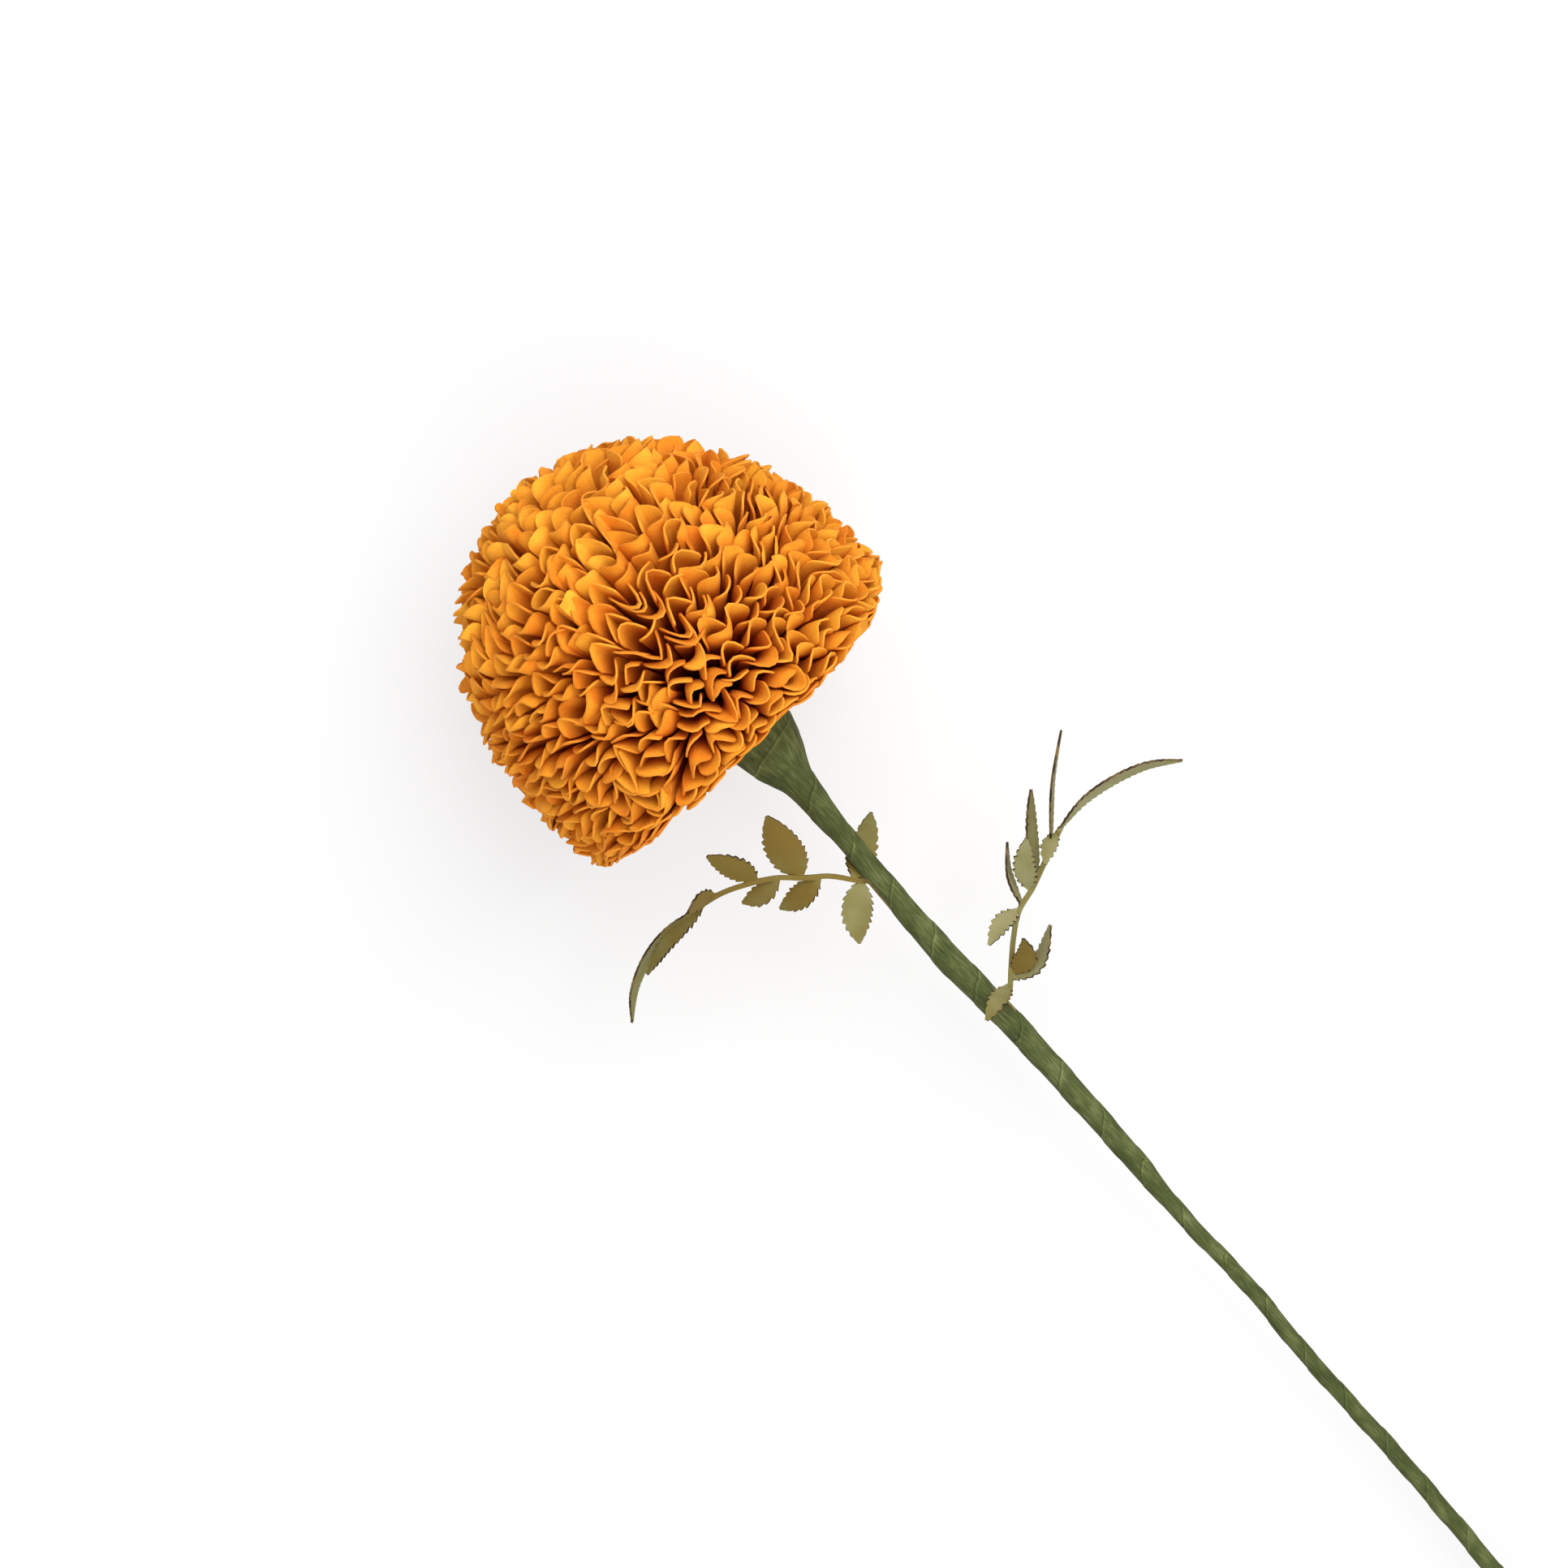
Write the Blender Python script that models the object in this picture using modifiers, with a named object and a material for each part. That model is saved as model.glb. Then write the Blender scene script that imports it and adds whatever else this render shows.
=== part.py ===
# Paper marigold on a wrapped wire stem, lying as it comes to rest.
# Head: scalloped paper discs threaded on the wire, every petal folded along its middle.
# Flower frame: +Y from the stem towards the head, +X across, +Z up, floor at z = 0.

import math
import random

import bmesh
import bpy
from mathutils import Matrix, Vector, noise

mm = 0.001

# Driving sizes, in millimetres and degrees.

# Head
head_radius = 40.7
head_top = 66.5
head_widest = 15.0
head_bottom = -2.5
crown_fullness = 2.1
skirt_fullness = 6.0
head_lean = 6.0
paper = 0.5
layer_count = 21
lowest_petal_angle = -20.0
highest_petal_angle = 90.0
petal_pitch = 6.0
fewest_petals = 8
petal_width_spread = 0.15
shortest_petal = 0.96
longest_petal = 1.024
petal_shoulder = 1.3
slit_width = 0.7
smallest_tip_ring = 2.5
inner_fold_share = 0.25
gentlest_fold = 0.75
gentlest_shoulder = 0.5
cupped_petals = 0.18
cupped_rise = 0.3
wave_height = 1.3
wave_length = 11.0
wave_rise = 26.0
calm_radius = 18.0
hub_pitch = 0.9
bottom_hub_radius = 10.2
paper_gap = 0.3
tilted_paper_share = 0.62
petal_seed = 7

# Wire and tape
wire_radius = 1.0
wire_end_above_hub = 1.2
fit_gap = 0.3
stem_length = 285.0
calyx_top = 7.9
wire_sides = 8
tape_sides = 12

# Distance from the head's rim, and the diameter over the tape there.
tape_widths = [
    (-8.0, 17.0), (-4.0, 16.2), (0.0, 15.0), (2.5, 13.7), (5.0, 12.4), (7.0, 11.0), (9.3, 8.9),
    (11.6, 7.2), (14.0, 6.3), (18.0, 5.6), (25.0, 4.5), (32.0, 4.5), (45.0, 4.8), (58.0, 5.5),
    (66.0, 5.3), (80.0, 5.0), (98.0, 4.6), (114.0, 4.2), (121.0, 3.4), (150.0, 3.2),
    (200.0, 3.4), (240.0, 3.5), (275.0, 3.4),
]
# Distance from the rim, and how far the hand-wound stem wanders to the side.
stem_sway = [
    (0.0, 0.0), (30.0, -0.2), (56.0, -0.1), (75.0, 1.2), (107.0, 2.1), (126.0, 2.2),
    (145.0, 3.2), (163.0, 3.0), (195.0, 3.9), (240.0, 3.6), (275.0, 3.5),
]
wire_stations = [0.0, 10.0, 25.0, 40.0, 56.0, 75.0, 92.0, 107.0, 126.0, 145.0, 163.0, 195.0, 240.0, 275.0]

# Leaves
card = 0.45
rachis_width = 1.2
tail_length = 7.0
tail_exit = 1.0
stalk_bend = 2.5
stalk_twist = 4.0
groove_run_out = 5.0
groove_overcut = 2.0
leaflet_foot = 0.6
leaflet_teeth = 5
tooth_peak = 0.72
tooth_depth = 0.35
leaf_belly = 0.8
leaf_fullness = 0.7
leaf_tip_width = 0.7

# Points closer than this are one; edges sharper than this stay crisp.
weld = 0.01
sharp_angle = 40.0

# How far the head presses its lowest petals flat.
rest_flat = 0.6

# Paper and metal finishes
finishes = {
    "petal_paper": ((0.72, 0.24, 0.02), 0.75, 0.0),
    "stem_tape": ((0.08, 0.12, 0.04), 0.85, 0.0),
    "leaf_card": ((0.36, 0.33, 0.12), 0.8, 0.0),
    "wire_steel": ((0.35, 0.35, 0.36), 0.35, 1.0),
}


# Leaf sprays: points and leaflets are measured from the stem's centre line at the joint,
# x across, y towards the head, z up. A leaflet gives its place along the stalk, its side,
# the way to its tip, its width, its roll about its own line, and how it bows.
left_spray = {
    "distance": 36.7,
    "seat_angle": 160.0,
    "path": [
        (-4.0, 3.6, 1.0), (-7.1, 7.3, 1.6), (-11.2, 10.4, 2.2), (-14.4, 13.3, 2.4),
        (-18.1, 15.5, 2.3), (-24.9, 18.2, 1.4), (-32.5, 19.0, -0.6),
    ],
    "end": [(-38.1, 18.8, -2.4), (-44.2, 17.0, -5.4), (-50.2, 13.2, -10.6), (-54.8, 7.8, -17.6)],
    "end_width": 4.4,
    "end_roll": -35.0,
    "leaflets": [
        (4.6, 1, (10.9, 4.9, -5.5), 6.4, 10.0, (-4.5, -1.0, -4.5)),
        (7.6, -1, (-6.6, -10.6, -2.0), 6.0, 8.0, (0.5, 0.0, 0.8)),
        (15.4, 1, (3.0, 12.6, 3.0), 7.6, -22.0, (-0.6, 0.0, 0.8)),
        (12.4, -1, (-9.0, -1.6, -4.6), 4.8, 24.0, (0.0, -0.8, 1.6)),
        (23.4, 1, (-3.9, 9.6, 4.5), 5.6, -34.0, (0.6, 0.0, 0.8)),
        (20.0, -1, (-9.0, -1.0, -4.2), 4.2, 26.0, (0.0, -1.0, 1.4)),
        (31.2, 1, (-8.4, 2.6, 7.5), 5.0, -44.0, (-1.2, 0.8, 1.0)),
        (34.6, -1, (-16.0, -4.4, -4.8), 4.0, 50.0, (-0.6, -0.4, 2.2)),
    ],
}
right_spray = {
    "distance": 71.3,
    "seat_angle": 25.0,
    "path": [
        (4.2, 2.4, 1.8), (7.0, 5.6, 2.8), (11.0, 9.8, 3.6), (15.2, 13.2, 4.0),
        (20.0, 14.9, 4.2), (25.2, 17.4, 4.6), (31.4, 20.4, 5.2),
    ],
    "end": [(38.2, 21.8, 6.6), (45.2, 21.2, 7.0), (51.9, 18.9, 5.6), (57.8, 14.7, 2.4)],
    "end_width": 4.4,
    "end_roll": 62.0,
    "leaflets": [
        (3.6, -1, (-8.0, -1.4, 4.4), 3.8, 40.0, (0.2, 1.0, 3.4)),
        (4.9, 1, (12.0, 3.7, 3.0), 3.8, -58.0, (-0.8, -4.6, 1.0)),
        (6.3, 1, (5.4, 4.6, 6.0), 4.2, -20.0, (2.0, -2.4, 1.0)),
        (18.2, -1, (-8.3, -1.0, 3.5), 3.6, 32.0, (0.6, 1.8, 1.2)),
        (20.0, -1, (5.2, 10.6, 1.5), 5.2, 82.0, (-2.0, 1.0, 0.0)),
        (23.2, -1, (5.6, 8.8, 6.5), 4.9, -8.0, (-1.4, 0.8, 0.4)),
        (26.4, -1, (9.6, 13.0, -1.0), 5.4, 62.0, (-1.0, 0.6, 0.8)),
        (31.4, 1, (-2.8, -5.0, 3.4), 3.0, 20.0, (1.4, -1.6, 0.8)),
        (33.2, -1, (12.6, 15.4, 4.0), 5.0, 84.0, (-1.2, 1.2, 0.0)),
    ],
}


def clear_scene():
    for thing in list(bpy.data.objects):
        bpy.data.objects.remove(thing, do_unlink=True)


def new_collection(name):
    collection = bpy.data.collections.new(name)
    bpy.context.scene.collection.children.link(collection)
    return collection


def new_material(name):
    colour, roughness, metallic = finishes[name]
    material = bpy.data.materials.new(name)
    material.use_nodes = True
    shader = material.node_tree.nodes["Principled BSDF"]
    shader.inputs["Base Color"].default_value = (*colour, 1.0)
    shader.inputs["Roughness"].default_value = roughness
    shader.inputs["Metallic"].default_value = metallic
    return material


def new_object(name, data, collection, material=None):
    thing = bpy.data.objects.new(name, data)
    collection.objects.link(thing)
    if material:
        data.materials.append(material)
    return thing


def smooth_value(table, place):
    # Smooth curve through the table's points, read at one place.
    last = len(table) - 1
    if place <= table[0][0]:
        return table[0][1]
    if place >= table[last][0]:
        return table[last][1]
    spot = 0
    while table[spot + 1][0] < place:
        spot += 1
    slopes = []
    for at in (spot, spot + 1):
        before = table[max(at - 1, 0)]
        after = table[min(at + 1, last)]
        slopes.append((after[1] - before[1]) / (after[0] - before[0]))
    start, end = table[spot], table[spot + 1]
    step = end[0] - start[0]
    t = (place - start[0]) / step
    return (
        start[1] * (2 * t**3 - 3 * t**2 + 1) + end[1] * (3 * t**2 - 2 * t**3)
        + slopes[0] * step * (t**3 - 2 * t**2 + t) + slopes[1] * step * (t**3 - t**2)
    )


# How the flower lies: the stem's cut end and the head's widest ring both touch the floor.

def resting_radius():
    return head_radius - rest_flat


def stem_tilt():
    end_radius = smooth_value(tape_widths, stem_length) / 2
    return math.atan2(resting_radius() - end_radius, stem_length + head_widest)


def stem_matrix():
    tilt = stem_tilt()
    rise = resting_radius() * math.cos(tilt) - head_widest * math.sin(tilt)
    return Matrix.Translation((0, 0, rise)) @ Matrix.Rotation(tilt, 4, "X")


def head_matrix():
    lean = Matrix.Rotation(math.radians(head_lean), 4, "Z")
    axis_up = Matrix.Rotation(math.radians(-90.0), 4, "X")
    return stem_matrix() @ lean @ axis_up


def stem_point(distance):
    # Centre line in the stem's frame; a negative distance is inside the head, on its axis.
    if distance < 0:
        lean = math.radians(head_lean)
        return Vector((math.sin(lean) * distance, -math.cos(lean) * distance, 0))
    return Vector((smooth_value(stem_sway, distance), -distance, 0))


# The head's outline and the fan of petal layers inside it.

def dome_radius(height):
    if height > head_widest:
        part, fullness = (height - head_widest) / (head_top - head_widest), crown_fullness
    else:
        part, fullness = (head_widest - height) / (head_widest - head_bottom), skirt_fullness
    if part >= 1:
        return 0.0
    return head_radius * (1 - part**fullness) ** (1 / fullness)


def petal_reach(radius, height, angle):
    # Length of the straight line from a hub's rim to the head's outline.
    short, long = 0.0, 2 * head_top
    while long - short > weld:
        length = (short + long) / 2
        inside = radius + length * math.cos(angle) < dome_radius(height + length * math.sin(angle))
        short, long = (length, long) if inside else (short, length)
    return short


def layer_plan():
    # Hub rim and petal line of every layer, from the calyx up.
    step = math.radians(highest_petal_angle - lowest_petal_angle) / (layer_count - 1)
    radius = bottom_hub_radius
    height = calyx_top + fit_gap + paper / 2
    layers = []
    for number in range(layer_count):
        angle = math.radians(lowest_petal_angle) + number * step
        if number > 0:
            radius -= hub_pitch * math.tan(max(angle, 0) / 2)
            height += hub_pitch
        length = petal_reach(radius, height, angle)
        layers.append({
            "radius": radius, "height": height, "angle": angle, "length": length, "step": step,
        })
    return layers


def band_half(layer, reach):
    # Half the room between a layer's neighbours, at a share of the way out.
    return (hub_pitch + layer["length"] * reach * math.tan(layer["step"])) / 2


def fold_room(layer, reach):
    # How far a fold may rise or fall and still clear the layers on both sides.
    radius = layer["radius"] + layer["length"] * reach * math.cos(layer["angle"])
    room = band_half(layer, reach) - tilted_paper_share * paper - paper_gap / 2
    return max(0.0, min(room, inner_fold_share * radius))


def petal_point(layer, turn, reach, lift):
    # Place of a petal's point: its turn about the axis, its share of the way out, its lift.
    angle = layer["angle"]
    out = layer["length"] * reach
    radius = layer["radius"] + out * math.cos(angle)
    height = layer["height"] + out * math.sin(angle)
    place = Vector((radius * math.cos(turn), radius * math.sin(turn), height))
    swell = Vector((place.x / wave_length, place.y / wave_length, place.z / wave_rise))
    lift += wave_height * reach * min(1, radius / calm_radius) * noise.noise(swell)
    radius -= lift * math.sin(angle)
    height += lift * math.cos(angle)
    return Vector((radius * math.cos(turn), radius * math.sin(turn), height))


def above_floor(point, to_world, from_world):
    # A petal that would reach through the floor is bent back to it.
    world = to_world @ point
    world.z = max(world.z, paper / 2)
    return from_world @ world


def petal_folds(rng):
    # Lifts at the left shoulder, the middle fold and the right shoulder, as shares of the room.
    sense = rng.choice((-1, 1))
    if rng.random() < cupped_petals:
        return (sense, rng.uniform(-cupped_rise, cupped_rise), -sense)
    left = -sense * rng.uniform(gentlest_shoulder, 1)
    middle = sense * rng.uniform(gentlest_fold, 1)
    right = -sense * rng.uniform(gentlest_shoulder, 1)
    return (left, middle, right)


def petal_layer(name, layer, seed, collection, material):
    # One scalloped disc: a flat hub on the wire and a ring of petals, each folded once.
    rng = random.Random(seed)
    to_world = head_matrix()
    from_world = to_world.inverted()
    tip_radius = layer["radius"] + layer["length"] * math.cos(layer["angle"])
    count = max(fewest_petals, round(2 * math.pi * tip_radius / petal_pitch))
    shares = [rng.uniform(1 - petal_width_spread, 1 + petal_width_spread) for _ in range(count)]
    turn = rng.uniform(0, 2 * math.pi)
    sheet = bmesh.new()
    ring = []
    for share in shares:
        width = 2 * math.pi * share / sum(shares)
        tip = rng.uniform(shortest_petal, longest_petal)
        shoulder = tip - petal_shoulder / layer["length"]
        slit = slit_width / max(tip_radius, smallest_tip_ring) / 2
        folds = petal_folds(rng)
        outline = [
            (turn + slit, shoulder, folds[0] * fold_room(layer, shoulder)),
            (turn + width / 2, tip, folds[1] * fold_room(layer, tip)),
            (turn + width - slit, shoulder, folds[2] * fold_room(layer, shoulder)),
        ]
        edge = [above_floor(petal_point(layer, *spot), to_world, from_world) for spot in outline]
        left, middle, right = [sheet.verts.new(point * mm) for point in edge]
        foot = sheet.verts.new(petal_point(layer, turn, 0, 0) * mm)
        ring.append((foot, left, middle, right))
        turn += width
    for number, (foot, left, middle, right) in enumerate(ring):
        next_foot = ring[(number + 1) % count][0]
        sheet.faces.new((foot, left, middle))
        sheet.faces.new((foot, middle, next_foot))
        sheet.faces.new((next_foot, middle, right))
    add_hub(sheet, [spot[0] for spot in ring], layer["height"])
    bmesh.ops.recalc_face_normals(sheet, faces=sheet.faces)
    disc = new_object(name, mesh_from(sheet, name), collection, material)
    thicken(disc, paper)
    return disc


def mesh_from(shape, name):
    mesh = bpy.data.meshes.new(name)
    shape.to_mesh(mesh)
    shape.free()
    return mesh


def thicken(sheet_object, thickness):
    wall = sheet_object.modifiers.new("thickness", "SOLIDIFY")
    wall.thickness = thickness * mm
    wall.offset = 0


def bore_radius():
    # Corners of the many-sided hole, whose flats clear the wire by the fit gap.
    return (wire_radius + fit_gap) / math.cos(math.pi / wire_sides)


def add_hub(sheet, rim, height):
    # Flat ring between the petals' feet and the hole for the wire.
    radius = bore_radius()
    hole = []
    for corner in range(wire_sides):
        turn = 2 * math.pi * corner / wire_sides
        place = Vector((radius * math.cos(turn), radius * math.sin(turn), height))
        hole.append(sheet.verts.new(place * mm))
    edges = ring_edges(sheet, rim) + ring_edges(sheet, hole)
    bmesh.ops.triangle_fill(sheet, edges=edges, use_beauty=True)


def ring_edges(sheet, ring):
    edges = []
    for number, vert in enumerate(ring):
        pair = (vert, ring[(number + 1) % len(ring)])
        edges.append(sheet.edges.get(pair) or sheet.edges.new(pair))
    return edges


# Wire and wound tape

def curve_tube(name, stations, radius_at, sides, collection):
    # Round bar along the stem's line, as a mesh with welded caps.
    curve = bpy.data.curves.new(name, "CURVE")
    curve.dimensions = "3D"
    curve.bevel_depth = mm
    curve.bevel_resolution = sides // 2 - 2
    curve.use_fill_caps = True
    spline = curve.splines.new("POLY")
    spline.points.add(len(stations) - 1)
    for point, distance in zip(spline.points, stations):
        point.co = (*(stem_point(distance) * mm), 1)
        point.radius = radius_at(distance)
    drawn = new_object(name + "_line", curve, collection)
    bpy.context.view_layer.update()
    mesh = bpy.data.meshes.new_from_object(drawn.evaluated_get(bpy.context.evaluated_depsgraph_get()))
    bpy.data.objects.remove(drawn, do_unlink=True)
    welded = bmesh.new()
    welded.from_mesh(mesh)
    bpy.data.meshes.remove(mesh)
    bmesh.ops.remove_doubles(welded, verts=welded.verts, dist=weld * mm)
    bmesh.ops.recalc_face_normals(welded, faces=welded.faces)
    return mesh_from(welded, name)


def round_off(mesh):
    mesh.shade_smooth()
    mesh.set_sharp_from_angle(angle=math.radians(sharp_angle))


def stem_stations(first, places, last):
    return [first] + [place for place in sorted(places) if first < place < last] + [last]


def stem_wire(layers, collection, material):
    top = layers[-1]["height"] + wire_end_above_hub
    stations = stem_stations(-top, wire_stations + [-calyx_top], stem_length)
    mesh = curve_tube("stem_wire", stations, lambda distance: wire_radius, wire_sides, collection)
    round_off(mesh)
    return new_object("stem_wire", mesh, collection, material)


def tape_radius(distance):
    return smooth_value(tape_widths, distance) / 2


def stem_tape(collection, cutters, material):
    # Crepe tape wound thick under the head and thinner down the wire, bored for the wire.
    places = wire_stations + [place for place, width in tape_widths]
    stations = stem_stations(-calyx_top, set(places), stem_length)
    mesh = curve_tube("stem_tape", stations, tape_radius, tape_sides, collection)
    round_off(mesh)
    tape = new_object("stem_tape", mesh, collection, material)
    bore_places = wire_stations + [-calyx_top, stem_length]
    bore_stations = stem_stations(-2 * calyx_top, bore_places, stem_length + calyx_top)
    bore = curve_tube("wire_bore", bore_stations, lambda distance: bore_radius(), wire_sides, cutters)
    cut(tape, new_object("wire_bore", bore, cutters))
    for side, spray in (("left", left_spray), ("right", right_spray)):
        cut(tape, tail_groove("groove_" + side, spray, cutters))
    return tape


def cut(thing, cutter):
    cutter.hide_render = True
    cutter.display_type = "WIRE"
    cutting = thing.modifiers.new(cutter.name, "BOOLEAN")
    cutting.operation = "DIFFERENCE"
    cutting.solver = "EXACT"
    cutting.object = cutter


def seat_frame(spray):
    # Middle of the tail where it enters the tape, its outward way and the way across it.
    distance = spray["distance"]
    angle = math.radians(spray["seat_angle"])
    outward = Vector((math.cos(angle), 0, math.sin(angle)))
    seat = stem_point(distance) + outward * (tape_radius(distance) - card / 2)
    return seat, outward


def tail_groove(name, spray, cutters):
    seat, outward = seat_frame(spray)
    along = Vector((0, 1, 0))
    across = along.cross(outward)
    length = tail_length + groove_run_out + 2 * fit_gap
    depth = card + 2 * fit_gap + groove_overcut
    solid = bmesh.new()
    bmesh.ops.create_cube(solid, size=1)
    size = Matrix.Diagonal(((rachis_width + 2 * fit_gap) * mm, length * mm, depth * mm, 1))
    frame = Matrix((across, along, outward)).transposed().to_4x4()
    middle = seat + outward * (depth / 2 - card / 2 - fit_gap)
    middle += along * (groove_run_out - tail_length) / 2
    solid.transform(Matrix.Translation(middle * mm) @ frame @ size)
    return new_object(name, mesh_from(solid, name), cutters)


# Leaf sprays, each cut from one card and bent by hand

def smooth_line(points, count):
    # Evenly spaced points of a smooth curve through the given ones, with the running length.
    fine = []
    for spot in range(len(points) - 1):
        before = points[max(spot - 1, 0)]
        start, end = points[spot], points[spot + 1]
        after = points[min(spot + 2, len(points) - 1)]
        for part in range(count):
            t = part / count
            fine.append(0.5 * (
                2 * start + (end - before) * t + (2 * before - 5 * start + 4 * end - after) * t**2
                + (3 * start - before - 3 * end + after) * t**3
            ))
    fine.append(points[-1].copy())
    lengths = [0.0]
    for first, second in zip(fine, fine[1:]):
        lengths.append(lengths[-1] + (second - first).length)
    return fine, lengths


def point_on_line(line, place):
    fine, lengths = line
    place = min(max(place, 0.0), lengths[-1])
    spot = 1
    while spot < len(lengths) - 1 and lengths[spot] < place:
        spot += 1
    share = (place - lengths[spot - 1]) / (lengths[spot] - lengths[spot - 1])
    point = fine[spot - 1].lerp(fine[spot], share)
    return point, (fine[spot] - fine[spot - 1]).normalized()


def leaflet_half_width(width, t):
    # Ovate outline: widest a little below the middle, narrow at the tip.
    full = math.sin(math.pi * t**leaf_belly) ** leaf_fullness if 0 < t < 1 else 0.0
    return max(width / 2 * full, leaf_tip_width / 2)


def leaflet_rows(line, across, width):
    # Pairs of edge points from foot to tip, with saw teeth that point to the tip.
    length = line[1][-1]
    rows = []
    for tooth in range(leaflet_teeth):
        for share, change in ((tooth_peak, tooth_depth / 2), (1.0, -tooth_depth / 2)):
            t = (tooth + share) / leaflet_teeth
            middle, way = point_on_line(line, t * length)
            side = (across - way * across.dot(way)).normalized()
            half = max(leaflet_half_width(width, t) + change, leaf_tip_width / 2)
            rows.append((middle - side * half, middle + side * half))
    return rows


def spray_line(spray):
    # Smooth line of the stalk, from its tail in the tape to the foot of the end leaflet.
    seat = seat_frame(spray)[0]
    joint = stem_point(spray["distance"])
    along = Vector((0, 1, 0))
    points = [seat - along * tail_length, seat - along * tail_length / 2, seat + along * tail_exit]
    points += [joint + Vector(point) for point in spray["path"]]
    return smooth_line(points, 8)


def add_stalk(sheet, spray, line, start):
    # Narrow strip along the line; gives its two edge points at every station.
    outward = seat_frame(spray)[1]
    stations = {0.0, start, start + stalk_bend, line[1][-1]}
    for at, *rest in spray["leaflets"]:
        stations.update((at + start - leaflet_foot, at + start + leaflet_foot))
    edges = {}
    for place in sorted(stations):
        point, way = point_on_line(line, place)
        turned = min(max((place - start) / stalk_twist, 0), 1)
        normal = outward.lerp(Vector((0, 0, 1)), turned)
        across = way.cross(normal).normalized() * (rachis_width / 2)
        edges[place] = (sheet.verts.new((point - across) * mm), sheet.verts.new((point + across) * mm))
    rows = list(edges.values())
    for first, second in zip(rows, rows[1:]):
        sheet.faces.new((*first, *reversed(second)))
    return edges


def leaf_spray(name, spray, collection, material):
    # One cut card: the stalk, leaflets on both sides of it, and one more at its end.
    line = spray_line(spray)
    start = tail_length + tail_exit
    sheet = bmesh.new()
    edges = add_stalk(sheet, spray, line, start)
    for at, side, way, width, roll, bow in spray["leaflets"]:
        edge = 1 if side > 0 else 0
        foot = [edges[at + start + step][edge] for step in (-leaflet_foot, leaflet_foot)]
        base = (foot[0].co + foot[1].co) / 2 / mm
        tip = base + Vector(way)
        middle = (base + tip + Vector(bow)) / 2
        add_leaflet(sheet, foot, [base, middle, tip], width, roll)
    joint = stem_point(spray["distance"])
    end = [line[0][-1]] + [joint + Vector(point) for point in spray["end"]]
    add_leaflet(sheet, edges[max(edges)], end, spray["end_width"], spray["end_roll"])
    bmesh.ops.recalc_face_normals(sheet, faces=sheet.faces)
    piece = new_object(name, mesh_from(sheet, name), collection, material)
    thicken(piece, card)
    return piece


def add_leaflet(sheet, foot, points, width, roll):
    line = smooth_line(points, 6)
    chord = (points[-1] - points[0]).normalized()
    across = Vector((0, 0, 1)).cross(chord).normalized()
    across = Matrix.Rotation(math.radians(roll), 3, chord) @ across
    foot_way = foot[1].co - foot[0].co
    if across.dot(foot_way) < 0:
        across = -across
    last = foot
    for left, right in leaflet_rows(line, across, width):
        row = (sheet.verts.new(left * mm), sheet.verts.new(right * mm))
        sheet.faces.new((last[0], last[1], row[1], row[0]))
        last = row


def centre_on_floor(parent, things):
    # The origin goes under the middle of the whole flower, on the floor.
    bpy.context.view_layer.update()
    graph = bpy.context.evaluated_depsgraph_get()
    corners = []
    for thing in things:
        shape = thing.evaluated_get(graph)
        corners += [shape.matrix_world @ vert.co for vert in shape.data.vertices]
    low = [min(corner[axis] for corner in corners) for axis in range(3)]
    high = [max(corner[axis] for corner in corners) for axis in range(3)]
    parent.location = (-(low[0] + high[0]) / 2, -(low[1] + high[1]) / 2, -low[2])
    bpy.context.view_layer.update()


def build():
    clear_scene()
    flower = new_collection("paper_marigold")
    cutters = new_collection("cutters")
    materials = {name: new_material(name) for name in finishes}
    root = new_object("flower_root", None, flower)
    layers = layer_plan()
    head = []
    for number, layer in enumerate(layers, 1):
        name = f"petal_layer_{number:02d}"
        head.append(petal_layer(name, layer, petal_seed + number, flower, materials["petal_paper"]))
    stem = [
        stem_wire(layers, flower, materials["wire_steel"]),
        stem_tape(flower, cutters, materials["stem_tape"]),
        leaf_spray("leaf_spray_left", left_spray, flower, materials["leaf_card"]),
        leaf_spray("leaf_spray_right", right_spray, flower, materials["leaf_card"]),
    ]
    for thing in head:
        thing.parent = root
        thing.matrix_local = head_matrix_metres()
    for thing in stem + list(cutters.objects):
        thing.parent = root
        thing.matrix_local = stem_matrix_metres()
    centre_on_floor(root, head + stem)


def in_metres(matrix):
    moved = matrix.copy()
    moved.translation *= mm
    return moved


def head_matrix_metres():
    return in_metres(head_matrix())


def stem_matrix_metres():
    return in_metres(stem_matrix())


build()
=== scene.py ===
# Paper marigold, dressed: finer petals, wound crepe tape, cut card leaves, floor, lamps and camera.
import math
import random

import bpy
from mathutils import Matrix, Vector, noise


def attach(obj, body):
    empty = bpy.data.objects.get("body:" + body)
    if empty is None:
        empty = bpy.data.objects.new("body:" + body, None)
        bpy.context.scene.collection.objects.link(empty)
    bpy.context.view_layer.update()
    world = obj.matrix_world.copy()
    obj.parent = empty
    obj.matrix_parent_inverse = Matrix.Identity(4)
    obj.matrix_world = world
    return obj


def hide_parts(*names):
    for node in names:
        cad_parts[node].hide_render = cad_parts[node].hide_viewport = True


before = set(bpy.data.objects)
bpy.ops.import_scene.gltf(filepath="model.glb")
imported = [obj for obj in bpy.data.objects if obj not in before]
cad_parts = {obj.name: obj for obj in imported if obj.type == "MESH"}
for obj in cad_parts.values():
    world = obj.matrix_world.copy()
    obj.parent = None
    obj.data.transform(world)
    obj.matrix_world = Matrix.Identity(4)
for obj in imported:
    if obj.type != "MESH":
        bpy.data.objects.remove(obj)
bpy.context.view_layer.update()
mm = 0.001
weldDistance = 0.00001
sheetSmoothing = 50.0

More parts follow.
